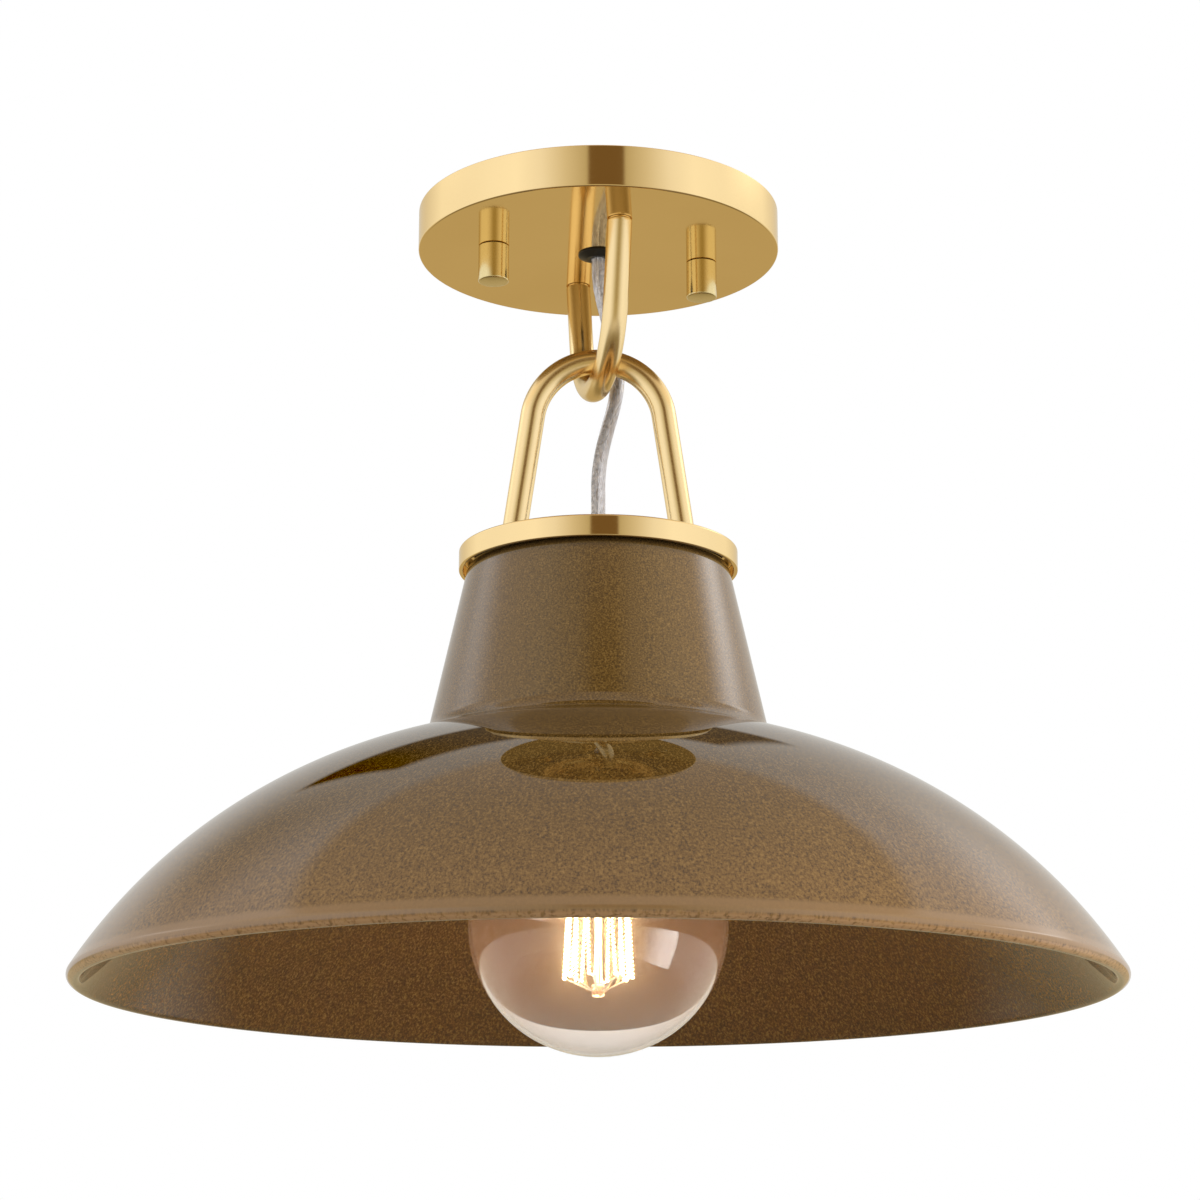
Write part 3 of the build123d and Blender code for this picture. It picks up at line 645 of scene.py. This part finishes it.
for half, facts in cordHalves.items():
    points = cordLine[facts["part"]]
    jacket = tubeFrom("cordJacket_" + half, [points], cord["thickness"], cord["sides"])
    jacket.data.materials.append(finishes["clearJacket"])
    strands = []
    for core, finish in enumerate(("tinnedStrand", "dullStrand")):
        lines = [wireLines[core, wire][facts["part"]] for wire in range(cord["wires"])]
        heartLine = wireLines[core, "heart"][facts["part"]]
        bundle = tubeFrom("cordWires_%s_%d" % (half, core), lines, cord["wireThickness"], cord["wireSides"])
        heart = tubeFrom("cordHeart", [heartLine], cord["heart"], cord["wireSides"])
        bundle = joinPieces(bundle.name, [bundle, heart])
        bundle.data.materials.append(finishes[finish])
        strands.append(bundle)
    for piece in [jacket] + strands:
        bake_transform(piece)
    if half == "upper":
        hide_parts("power_cord")
    print("cord", half, round(pathLength(points) * 1000, 1), "mm")


# Canopy and its two cap nuts; a turned piece's corner is its radius, height and rounding

canopy = {"radius": 69.8, "wall": 1.2, "rim": 0, "floor": -14.6, "bottom": -16.2, "edge": 0.8, "lip": 0.4, "steps": 256,
          "corners": "0 bottom 0, radius bottom edge, radius rim lip, inner rim lip, inner floor edge, 0 floor 0"}
finishPiece(turned("canopyCup", canopy), "satinBrass", "ceiling", "satin_brass", "canopy")

capNut = {"radius": 5.9, "top": -16.3, "brow": -30.7, "bottom": -31.2, "chamfer": 0.7, "topEdge": 0.35, "rounds": 4,
          "steps": 96, "place": 41.3, "corners": "0 bottom 0, radius brow chamfer, radius top topEdge, 0 top 0"}
nut = turned("capNut", capNut)
for side, node, body in ((-1, "left_cap_nut", "left_nut"), (1, "right_cap_nut", "right_nut")):
    copy = twin(nut, node + "_turned", (side * capNut["place"], 0, 0))
    finishPiece(copy, "nutBrass", body, "satin_brass", node)
bpy.data.objects.remove(nut)
print("canopy and cap nuts done")


# Bent brass rods

def bentRod(name, rod):
    half = rod["feet"] / 2
    rise = rod["height"] - rod["bend"]
    lean = acos(rod["bend"] / hypot(half, rise)) - atan2(rise, half)
    upLeg = Vector((sin(lean), 0, cos(lean)))
    downLeg = Vector((sin(lean), 0, -cos(lean)))
    start = Vector((-half, 0, 0)) - upLeg * rod["thickness"]
    touch = Vector((-rod["bend"] * cos(lean), 0, rise + rod["bend"] * sin(lean)))
    piece = added(name, bpy.ops.mesh.primitive_circle_add, vertices=rod["sides"], radius=rod["thickness"] / 2 * mm,
                  location=start * mm, rotation=(0, lean, 0))
    settle(piece)
    openMesh(piece)
    legStep = (touch - start).length / rod["legSteps"] * mm
    for step in range(rod["legSteps"]):
        extrude(upLeg * legStep)
    bpy.ops.mesh.spin(steps=rod["bendSteps"], angle=pi - 2 * lean, center=(0, 0, rise * mm), axis=(0, -1, 0))
    for step in range(rod["legSteps"]):
        extrude(downLeg * legStep)
    selectAll()
    bpy.ops.mesh.bisect(plane_co=(0, 0, rod["groove"][0] * mm), plane_no=(0, 0, 1), use_fill=True, clear_inner=True)
    # a fine groove where a foot meets the brass
    bpy.ops.mesh.inset(thickness=rod["groove"][1] * mm, depth=0)
    extrude((0, 0, -rod["groove"][0] * mm))
    selectAll()
    bpy.ops.mesh.normals_make_consistent(inside=False)
    closeMesh()
    softenEdges(piece, rod["footEdge"], 2, 50)
    piece.location = (0, 0, rod["level"] * mm)
    piece.rotation_euler = rod["turn"]
    settle(piece)
    smooth(piece, 40)
    return piece


hangingLoop = {"feet": 74.4, "height": 53.7, "bend": 31.0, "thickness": 9.5, "sides": 64, "legSteps": 8,
               "bendSteps": 56, "footEdge": 0.15, "groove": (0.5, 0.6), "level": -16.2,
               "turn": (pi, 0, pi / 2)}
finishPiece(bentRod("hangingLoopRod", hangingLoop), "rodBrass", "ceiling", "satin_brass", "hanging_loop")
shadeBail = {"feet": 66.0, "height": 76.0, "bend": 25.4, "thickness": 9.5, "sides": 64, "legSteps": 12,
             "bendSteps": 56, "footEdge": 0.15, "groove": (0.4, 0.5), "level": -136.1, "turn": (0, 0, bailTurn)}
finishPiece(bentRod("bailRod", shadeBail), "rodBrass", "lamp", "satin_brass", "bail")
print("rods bent")


# Cord bushing in the canopy, grip on the cap, cap on the shade's neck

bushing = {"bore": 2.85, "crown": 4.6, "body": 5.5, "barb": 6.3, "flange": 7.75, "top": -12.1, "inside": -14.6,
           "seat": -16.2, "rim": -16.8, "face": -18.2, "steps": 64,
           "corners": "bore face 0.5, crown face 0.9, flange rim 0.25, flange seat 0.1, body seat 0, body inside 0, "
                      "barb inside 0.3, body top 0.4, bore top 0.4"}
finishPiece(turned("cordBushing", bushing), "blackPlastic", "ceiling", "black_plastic", "canopy_cord_bushing")
grip = {"bore": 2.85, "thread": 5.1, "neck": 6.0, "base": 8.5, "top": -125.1, "inside": -130.1, "shoulder": -131.1,
        "foot": -136.1, "steps": 72,
        "corners": "bore top 0.6, neck top 0.8, base shoulder 0.8, base foot 0.3, thread foot 0, thread inside 0, "
                   "bore inside 0"}
finishPiece(turned("cordGripCone", grip), "satinBrass", "lamp", "satin_brass", "cord_grip")
collarCap = {"radius": 52.7, "wall": 1.6, "top": -136.1, "plate": -139.1, "bottom": -144.2, "edge": 0.8, "lip": 0.5,
             "steps": 224,
             "corners": "0 top 0, radius top edge, radius bottom lip, inner bottom lip, inner plate 0.4, 0 plate 0"}
finishPiece(turned("collarCapTurned", collarCap), "satinBrass", "lamp", "satin_brass", "collar_cap")


# Glazed shade: straight neck, round dome, rounded lip

glazedShade = {"hole": 5.3, "top": -140.6, "neckTop": 48.8, "neckBase": 64.2, "neckHeight": 69.1, "rim": 192.5,
               "domeHeight": 91.2, "domeRadius": 197.2, "wall": 5.8, "topThickness": 7.0, "shoulder": 6.0,
               "waist": 9.0, "lip": 2.6, "innerCorner": 5.0, "waistRoom": 8.0, "innerWaistRoom": 12.5, "lipRoom": 3.25,
               "rounds": 9, "domeSteps": 46, "steps": 288}


def shadeOutline(s):
    neckTop = Vector((s["neckTop"], s["top"]))
    waist = Vector((s["neckBase"], s["top"] - s["neckHeight"]))
    rim = Vector((s["rim"], waist.y - s["domeHeight"]))
    chord = rim - waist
    across = Vector((chord.y, -chord.x)).normalized()
    center = (waist + rim) / 2 + across * sqrt(s["domeRadius"] ** 2 - (chord.length / 2) ** 2)
    innerRadius = s["domeRadius"] - s["wall"]
    down = (waist - neckTop).normalized()
    innerLine = neckTop + Vector((down.y, -down.x)) * s["wall"]
    toLine = innerLine - center
    along = toLine.dot(down)
    innerWaist = innerLine - down * (along + sqrt(along ** 2 - toLine.dot(toLine) + innerRadius ** 2))
    insideTop = s["top"] - s["topThickness"]
    innerTop = innerLine + down * ((insideTop - innerLine.y) / down.y)
    innerRim = center + (rim - center).normalized() * innerRadius

    def domeArc(first, last, radius, room):
        # the arc keeps clear of the rounded corners at its ends
        start = degrees(atan2(first.y - center.y, first.x - center.x))
        end = degrees(atan2(last.y - center.y, last.x - center.x))
        points = arc(center, radius, start, end, s["domeSteps"])[1:-1]
        return [(*point, 0) for point in points
                if (Vector(point) - first).length > room[0] and (Vector(point) - last).length > room[1]]

    corners = [(s["hole"], insideTop, 0), (s["hole"], s["top"], 0), (*neckTop, s["shoulder"]), (*waist, s["waist"])]
    corners += domeArc(waist, rim, s["domeRadius"], (s["waistRoom"], s["lipRoom"]))
    corners += [(*rim, s["lip"]), (*innerRim, s["lip"])]
    corners += domeArc(innerRim, innerWaist, innerRadius, (s["lipRoom"], s["innerWaistRoom"]))
    corners += [(*innerWaist, s["waist"] + s["wall"]), (*innerTop, s["innerCorner"])]
    return softOutline(corners, s["rounds"])


shadeBowl = lathe("shadeBowl", shadeOutline(glazedShade), glazedShade["steps"])
smooth(shadeBowl, 40)
finishPiece(shadeBowl, "brownGlaze", "lamp", "glazed_ceramic", "shade")
print("cap and shade done")


# Lamp socket inside the neck

socketBody = {"bore": 14.15, "radius": 18.0, "top": -172.6, "floor": -179.6, "bottom": -210.6, "steps": 96,
              "corners": "0 top 0, radius top 0.3, radius bottom 0.9, bore bottom 0.6, bore floor 0.3, 0 floor 0"}
finishPiece(turned("socketBarrel", socketBody), "blackPlastic", "lamp", "black_plastic", "socket_body")
socketTop = {"thread": 5.1, "hub": 8.5, "inside": 15.4, "radius": 18.0, "top": -154.6, "shoulder": -157.0,
             "hubEnd": -159.6, "skirt": -162.2, "insideTop": -164.8, "bottom": -172.6, "steps": 96,
             "corners": "thread top 0, hub top 0.6, hub shoulder 0.8, radius skirt 1.4, radius bottom 0.3, "
                        "inside bottom 0, inside insideTop 0, thread hubEnd 0"}
finishPiece(turned("socketTopCap", socketTop), "blackPlastic", "lamp", "black_plastic", "socket_cap")


def threaded(name, part, angle=32):
    # the outline runs over rounded threads between its two plain ends
    count = part["threads"] * part["perThread"]
    wave = []
    for step in range(count + 1):
        swing = sin(2 * pi * (step / part["perThread"] + part["phase"]))
        level = part["from"] + (part["to"] - part["from"]) * step / count
        wave.append((part["middle"] + part["swing"] * swing, level))
    piece = lathe(name, inWords(part, part["before"]) + wave + inWords(part, part["after"]), part["steps"])
    smooth(piece, angle)
    return piece


screwShell = {"throat": 9.0, "bore": 13.35, "outer": 13.85, "top": -179.6, "underTop": -180.1, "bottom": -206.6,
              "before": "throat underTop, throat top, outer top, outer bottom, bore bottom",
              "after": "bore underTop, throat underTop", "middle": 13.21, "swing": 0.16, "phase": 0.0,
              "from": -205.1, "to": -183.1, "threads": 6, "perThread": 8, "steps": 72}
finishPiece(threaded("socketScrewShell", screwShell), "plainBrass", "lamp", "plain_brass", "socket_screw_shell")


# Bulb

bulb = {"center": -278.05, "radius": 47.75, "seat": 11.8, "seatTop": -206.3, "seatEnd": -214.3, "neck": 17.0,
        "neckStart": -223.3, "blend": 11.0, "wall": 1.2, "steps": 160, "ballSteps": 60, "blendSteps": 10}


def glassOutline(b, inset):
    radius = b["radius"] - inset
    blend = b["blend"] + inset
    across = b["neck"] + b["blend"]
    up = sqrt((b["radius"] + b["blend"]) ** 2 - across ** 2)
    meet = degrees(atan2(up, across))
    outline = [(b["seat"] - inset, b["seatTop"]), (b["seat"] - inset, b["seatEnd"])]
    outline += [(b["neck"] - inset, b["neckStart"])]
    outline += arc((across, b["center"] + up), blend, 180, 180 + meet, b["blendSteps"])
    outline += arc((0, b["center"]), radius, meet, -90, b["ballSteps"])[1:-1]
    return outline + [(0, b["center"] - radius)]


outside = glassOutline(bulb, 0)
inside = glassOutline(bulb, bulb["wall"])
globe = lathe("globeGlass", outside + inside[::-1] + outside[:1], bulb["steps"])
smooth(globe, 60)
finishPiece(globe, "clearGlass", "bulb", "clear_glass", "bulb_globe")

stem = {"rod": 1.3, "button": 2.5, "tube": 4.5, "flare": 10.9, "top": -206.3, "flareLow": -207.7, "tubeTop": -214.1,
        "press": -240.3, "pressEnd": -244.8, "buttonTop": -299.7, "end": -304.3, "rounds": 4, "steps": 40,
        "corners": "0 top 0, flare top 0.3, flare flareLow 0.5, tube tubeTop 2, tube press 1.6, rod pressEnd 1.2, "
                   "rod buttonTop 0.5, button buttonTop 0.7, button end 1.2, 0 end 0"}
finishPiece(turned("glassStem", stem, 50), "stemGlass", "bulb", "clear_glass", "bulb_stem")

screwBase = {"hole": 10.6, "inside": 12.1, "root": 12.25, "sheet": 12.6, "hem": 12.8, "bead": 12.95, "radius": 13.0,
             "top": -192.7, "underTop": -193.2, "beadEnd": -210.4, "skirt": -211.2, "hemTop": -214.0, "bottom": -214.3,
             "before": "hole top, root top",
             "after": "bead beadEnd, radius skirt, radius hemTop, hem bottom, sheet bottom, inside underTop, "
                      "hole underTop, hole top",
             "middle": 12.775, "swing": 0.225, "phase": -0.25, "from": -193.3, "to": -209.6, "threads": 4,
             "perThread": 10, "steps": 96}
finishPiece(threaded("screwBaseShell", screwBase, 50), "rolledAluminium", "bulb", "base_aluminium", "bulb_screw_base")

filament = {"hooks": 8, "topCircle": 10.0, "lowCircle": 12.5, "top": -250.3, "bottom": -297.3, "hookWidth": 2.4,
            "coil": 0.5, "coilTurn": 1.5, "pointsPerTurn": 7, "wire": 0.42, "sides": 8}


def cagePoint(index, upper, side):
    angle = 2 * pi * (index if upper else index + 0.5) / filament["hooks"]
    outward = Vector((cos(angle), sin(angle), 0))
    sideways = Vector((-sin(angle), cos(angle), 0))
    spot = outward * filament["topCircle" if upper else "lowCircle"] + sideways * (side * filament["hookWidth"] / 2)
    spot.z = filament["top" if upper else "bottom"]
    return spot * mm


cageLine = [cagePoint(0, True, 1)]
for index in range(filament["hooks"]):
    cageLine += [cagePoint(index, False, -1), cagePoint(index, False, 1), cagePoint(index + 1, True, -1),
                 cagePoint(index + 1, True, 1)]
cageLine.pop()
strand = []
for here, there in zip(cageLine, cageLine[1:]):
    parts = max(2, round((there - here).length / mm / filament["coilTurn"] * filament["pointsPerTurn"]))
    strand += [here.lerp(there, part / parts) for part in range(parts)]
coilLine = twisted(strand, [(filament["coil"], filament["coilTurn"], 0)])
coil = tubeFrom("filamentCoil", [coilLine], filament["wire"], filament["sides"])
finishPiece(coil, "glowingFilament", "bulb", "glowing_filament", "bulb_filament")

# frame node, name, edge, finish, body, slot
dressCopies([("filament_supports", "supportWires", 0, "drawnWire", "bulb", "support_wire"),
             ("bulb_base_insulator", "baseInsulator", 0.3, "baseBlackGlass", "bulb", "base_insulator"),
             ("bulb_center_contact", "baseTipContact", 0.3, "tinSolder", "bulb", "solder")], 60)
print("socket and bulb done")


# Parts above the canopy floor

stud = {"place": 41.3, "radius": 2.05, "core": 1.73, "pitch": 0.8, "crest": 0.36, "plain": 0.4, "top": 0.0,
        "bottom": -25.2, "steps": 28}
studOutline = [(0, stud["bottom"]), (stud["core"], stud["bottom"])]
for turn in range(int((stud["top"] - stud["bottom"] - 2 * stud["plain"]) / stud["pitch"])):
    level = stud["bottom"] + stud["plain"] + turn * stud["pitch"]
    studOutline += [(stud["core"], level), (stud["radius"], level + stud["crest"])]
studOutline += [(stud["core"], stud["top"]), (0, stud["top"])]
threadedStuds = setOut(lathe("stud", studOutline, stud["steps"]), "threadedStuds",
                       [((side * stud["place"], 0, 0),) for side in (-1, 1)])
smooth(threadedStuds, 25)
finishPiece(threadedStuds, "zincSteel", "ceiling", "zinc_steel", "bracket_studs")

panScrew = {"shank": 2.05, "head": 4.0, "top": -10.8, "seat": -13.6, "tip": -21.7, "steps": 48, "place": 37.2,
            "slot": (4.6, 1.1, 2.6), "edge": 0.08,
            "corners": "0 tip 0, shank tip 0.4, shank seat 0, head seat 0.2, head top 1.3, 0 top 0"}
screw = plainTurned("panScrew", panScrew)
for turn in (0, pi / 2):
    blade = added("screwSlot", bpy.ops.mesh.primitive_cube_add, size=1, location=(0, 0, panScrew["top"] * mm),
                  rotation=(0, 0, turn))
    blade.scale = Vector(panScrew["slot"]) * mm
    settle(blade)
    shape(screw, "BOOLEAN", operation="DIFFERENCE", object=blade, solver="EXACT")
    bpy.data.objects.remove(blade)
loopScrews = setOut(screw, "loopPanScrews", [((0, side * panScrew["place"], 0),) for side in (-1, 1)])
softenEdges(loopScrews, panScrew["edge"], 1, 50)
smooth(loopScrews, 35)
finishPiece(loopScrews, "zincSteel", "ceiling", "zinc_steel", "loop_screws")

connector = {"bore": 1.0, "tip": 2.85, "collar": 4.25, "mouth": 4.45, "ribFrom": 3.0, "boreEnd": 11.0, "ribTo": 17.0,
             "length": 19.0, "ribs": 0.35, "ribOutside": 2.0, "reach": 27.0, "level": -8.6, "angles": (45, 135, 225),
             "corners": "bore 0 0, mouth 0 0.6, collar ribFrom 0, tip ribTo 0, tip length 1, 0 length 0, 0 boreEnd 0, "
                        "bore boreEnd 0", "steps": 36}
cone = plainTurned("connectorCone", connector)
# every second face of the side is raised to a rib
faceAngle = 360 / connector["steps"]
for polygon in cone.data.polygons:
    spot = polygon.center / mm
    around = degrees(atan2(spot.y, spot.x)) % 360 / faceAngle - 0.5
    onSide = connector["ribFrom"] < spot.z < connector["ribTo"]
    onSide = onSide and hypot(spot.x, spot.y) > connector["ribOutside"]
    polygon.select = onSide and round(around) % 2 == 0
pick(cone)
bpy.ops.object.mode_set(mode="EDIT")
bpy.ops.mesh.select_mode(type="FACE")
bpy.ops.mesh.extrude_region_shrink_fatten(TRANSFORM_OT_shrink_fatten={"value": connector["ribs"] * mm})
bpy.ops.mesh.select_mode(type="VERT")
closeMesh()
spots = []
for turn in [radians(angle) for angle in connector["angles"]]:
    place = (connector["reach"] * cos(turn), connector["reach"] * sin(turn), connector["level"])
    spots.append((place, (0, pi / 2, turn)))
connectors = setOut(cone, "wireConnectorCones", spots)
smooth(connectors, 35)
finishPiece(connectors, "connectorOrange", "ceiling", "connector_plastic", "wire_connectors")

leads = mergedCopy("supply_leads", "supplyLeadWires")
smooth(leads, 60)
finishPiece(leads, "leadBlack", "ceiling", "lead_insulation", "supply_leads")
leads.data.materials.append(finishes["leadWhite"])
leads.data.materials.append(finishes["leadGreen"])
for polygon in leads.data.polygons:
    angle = degrees(atan2(polygon.center.y, polygon.center.x)) % 360
    polygon.material_index = 0 if angle < 90 else 1 if angle < 180 else 2

dressCopies([("mounting_bracket", "ceilingBracket", 0.3, "zincSteel", "ceiling", "zinc_steel"),
             ("stud_lock_nuts", "studHexNuts", 0.3, "zincSteel", "ceiling", "zinc_steel"),
             ("ground_screw", "groundScrewGreen", 0.4, "greenLacquer", "ceiling", "green_screw"),
             ("loop_lock_washers", "loopWashers", 0.15, "zincSteel", "ceiling", "zinc_steel"),
             ("shade_lock_nut", "shadeHexNut", 0.4, "zincSteel", "lamp", "zinc_steel"),
             ("shade_steel_washer", "shadeWasher", 0.2, "zincSteel", "lamp", "zinc_steel"),
             ("grip_set_screw", "gripNylonScrew", 0.25, "naturalNylon", "lamp", "nylon_screw")])

# frame nodes that stay as they are
for node, finish in (("cord_canopy_end", "clearJacket"), ("cord_lamp_end", "clearJacket"),
                     ("bail_screws", "zincSteel"), ("threaded_nipple", "zincSteel"), ("shade_gasket", "gasketRubber"),
                     ("shade_fibre_washer", "redFibre"), ("socket_leads", "leadWhite"),
                     ("socket_terminal_screws", "plainBrass"), ("socket_center_contact", "plainBrass")):
    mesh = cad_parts[node].data
    mesh.materials.clear()
    mesh.materials.append(finishes[finish])
print("fittings done")


# Studio: a white tent, dim behind the camera, over a pale floor

# bearings are degrees round from the camera, only slitSide is in half turns, and rises are sines
# a patch is bearing, rise, width, height and brightness
studio = {
    "ambient": 0.72, "strength": 1.17, "turn": 5.0, "overhead": (0.66, 0.54, 0.43), "underneath": (0.25, 0.20, 0.105),
    "horizon": (-0.04, 0.02), "eaves": (0.42, 0.54), "roof": (0.735, 0.79), "roofDip": 0.15, "low": (-0.38, -0.62),
    "slit": 0.92, "slitFoot": (0.57, 0.60), "slitTop": (0.73, 0.76), "slitSide": (0.893, 0.907),
    "upper": [(0, (0.165, 0.099, 0.037)), (10.4, (0.165, 0.099, 0.037)), (12.2, (0.50, 0.44, 0.30)),
              (25, (0.66, 0.61, 0.50)), (33, (0.77, 0.74, 0.68)), (41, (0.88, 0.87, 0.86)), (58, (1, 1, 1)),
              (100, (0.94, 0.94, 0.94)), (124, (0.95, 0.95, 0.94)), (150, (0.72, 0.70, 0.66)),
              (180, (0.60, 0.59, 0.56))],
    "lower": [(0, (0.43, 0.36, 0.20)), (10, (0.45, 0.39, 0.23)), (25, (0.66, 0.61, 0.50)), (38, (0.85, 0.83, 0.80)),
              (58, (1, 1, 1)), (110, (0.95, 0.95, 0.94)), (130, (0.72, 0.67, 0.54)), (145, (0.485, 0.40, 0.235)),
              (180, (0.485, 0.40, 0.235))],
    "high": [(0, (0.17, 0.105, 0.045)), (8, (0.22, 0.15, 0.075)), (22, (0.60, 0.50, 0.36)), (52, (0.93, 0.82, 0.64)),
             (80, (1, 0.89, 0.74)), (110, (0.95, 0.91, 0.87)), (128, (0.95, 0.94, 0.93)), (150, (0.72, 0.70, 0.66)),
             (180, (0.60, 0.59, 0.56))],
    "patches": [(108, 0.465, 30, 0.1, 1.9), (132, 0.58, 26, 0.16, 0.35), (-114, 0.47, 30, 0.1, 0.6),
                (-140, 0.63, 38, 0.27, -0.42), (0, -0.6, 70, 0.17, 0.5)],
    "floorLevel": -2.4, "floorSize": 60.0, "floorTones": (0.54, 0.56), "floorRoughness": 0.9, "floorSeen": 0.42}


def bearingRamp(band):
    return colourRamp(tree, bearing, [(angle / 180, colour) for angle, colour in studio[band]])


def between(limits, full=1.0):
    return remap(tree, rise, *limits, 0.0, full, True)


def distance(value, middle):
    return calculate(tree, "ABSOLUTE", calculate(tree, "SUBTRACT", value, middle))


def seenPlainly(paths):
    return calculate(tree, "MAXIMUM", paths.outputs["Is Camera Ray"], paths.outputs["Is Transmission Ray"])


world = bpy.data.worlds.new("whiteTent")
bpy.context.scene.world = world
world.use_nodes = True
tree = world.node_tree
tree.nodes.clear()
direction = addNode(tree, "TexCoord").outputs["Generated"]
facing = radians(viewPoint["turn"] + studio["turn"])
towards = measure(tree, "DOT_PRODUCT", direction, (sin(facing), -cos(facing), 0))
aside = measure(tree, "DOT_PRODUCT", direction, (cos(facing), sin(facing), 0))
sideways = calculate(tree, "ARCTAN2", aside, towards)
bearing = calculate(tree, "DIVIDE", calculate(tree, "ABSOLUTE", sideways), pi)
rise = addNode(tree, "SeparateXYZ", None, {0: direction}).outputs["Z"]
tent = blendColours(tree, between(studio["horizon"]), bearingRamp("lower"), bearingRamp("upper"))
tent = blendColours(tree, between(studio["eaves"]), tent, bearingRamp("high"))
# the roof reaches further down in front
roof = calculate(tree, "ADD", rise, calculate(tree, "MULTIPLY", towards, studio["roofDip"]))
tent = blendColours(tree, remap(tree, roof, *studio["roof"], 0.0, 1.0, True), tent, studio["overhead"])
tent = blendColours(tree, between(studio["low"]), tent, studio["underneath"])
# dark slit behind the light, between the backdrop's top and the roof of the tent
slit = calculate(tree, "MULTIPLY", between(studio["slitFoot"]), remap(tree, rise, *studio["slitTop"], 1.0, 0.0, True))
slitSide = remap(tree, bearing, *studio["slitSide"], 0.0, studio["slit"], True)
tent = blendColours(tree, calculate(tree, "MULTIPLY", slit, slitSide), tent, (0, 0, 0))
# the tent is lit unevenly behind its sides
for patchBearing, patchRise, wide, tall, bright in studio["patches"]:
    apart = distance(sideways, radians(patchBearing))
    share = calculate(tree, "MULTIPLY", remap(tree, apart, radians(wide), 0.0, 0.0, bright, True),
                      remap(tree, distance(rise, patchRise), tall, 0.0, 0.0, 1.0, True))
    tent = blendColours(tree, 1.0, tent, share, "ADD")
paths = addNode(tree, "LightPath")
plainSight = seenPlainly(paths)
mirrored = calculate(tree, "MULTIPLY", paths.outputs["Is Glossy Ray"], calculate(tree, "SUBTRACT", 1.0, plainSight))
colour = blendColours(tree, mirrored, (1, 1, 1), tent)
strength = blendValues(tree, mirrored, studio["ambient"], studio["strength"])
strength = blendValues(tree, plainSight, strength, 1.0)
background = addNode(tree, "Background", None, {"Color": colour, "Strength": strength})
worldOut = addNode(tree, "OutputWorld")
tree.links.new(background.outputs[0], worldOut.inputs["Surface"])

floor = added("paleFloor", bpy.ops.mesh.primitive_plane_add, size=studio["floorSize"],
              location=(0, 0, studio["floorLevel"]))
settle(floor)
tree, shader = newFinish("paleFloorFinish")
grain = useGroup(tree, mouldGrain, Place=objectPlace(tree), Fine=200.0, Broad=3.0)
shades = [(tone, tone, tone) for tone in studio["floorTones"]]
seen = seenPlainly(addNode(tree, "LightPath"))
setInputs(tree, shader, {
    "Base Color": blendColours(tree, grain.outputs["Patch"], *shades), "Roughness": studio["floorRoughness"],
    "Specular IOR Level": 0.0, "Emission Color": (1, 1, 1),
    "Emission Strength": calculate(tree, "MULTIPLY", seen, studio["floorSeen"])})
floor.data.materials.append(finishes["paleFloorFinish"])
floor.visible_glossy = False      # metal mirrors the tent, not the floor

# name, bearing and rise in degrees, distance and size in metres, power
softBoxes = [("rightPanel", 80, 8, 1.8, 0.9, 27.0), ("leftPanel", -80, 5, 1.8, 0.5, 13.5),
             ("frontPanel", 0, 5, 2.2, 1.0, 9.0), ("lowPanel", 61, -24, 1.2, 0.6, 3.0),
             ("bulbPanel", 58, -20, 1.2, 0.72, 7.2)]
aimedAt = Vector((0, 0, -0.22))
window = {"across": (0.0, 0.75), "bright": (0.15, 1.35)}
bulbOnly = bpy.data.collections.new("bulbOnly")
bulbOnly.objects.link(globe)
for name, boxBearing, boxRise, away, size, power in softBoxes:
    turn = radians(viewPoint["turn"] + boxBearing)
    lift = radians(boxRise)
    out = away * cos(lift)
    spot = aimedAt + Vector((out * sin(turn), -out * cos(turn), away * sin(lift)))
    aim = (aimedAt - spot).to_track_quat("-Z", "Y").to_euler()
    panel = added(name, bpy.ops.object.light_add, type="AREA", location=spot, rotation=aim)
    panel.data.shape = "SQUARE"
    panel.data.size = size
    panel.data.energy = power
    if name == "bulbPanel":
        # the window in the globe, brighter to one side
        panel.light_linking.receiver_collection = bulbOnly
        panel.data.use_nodes = True
        tree = panel.data.node_tree
        onPanel = addNode(tree, "NewGeometry").outputs["Parametric"]
        across = addNode(tree, "SeparateXYZ", None, {0: onPanel}).outputs["X"]
        uneven = remap(tree, across, *window["across"], *window["bright"], True)
        setInputs(tree, tree.nodes["Emission"], {"Strength": uneven})
    else:
        panel.visible_glossy = False
        panel.visible_transmission = False

bulbGlow = {"place": (0, 0, -0.277), "radius": 0.014, "power": 0.7, "colour": (1.0, 0.66, 0.34)}
glow = added("bulbGlow", bpy.ops.object.light_add, type="POINT", location=bulbGlow["place"],
             radius=bulbGlow["radius"])
glow.data.energy = bulbGlow["power"]
glow.data.color = bulbGlow["colour"]
glow.visible_transmission = False
glow.visible_glossy = False
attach(glow, "bulb")
globe.visible_shadow = False

bpy.context.scene.view_settings.view_transform = "Standard"
bpy.context.view_layer.update()
print("studio ready")
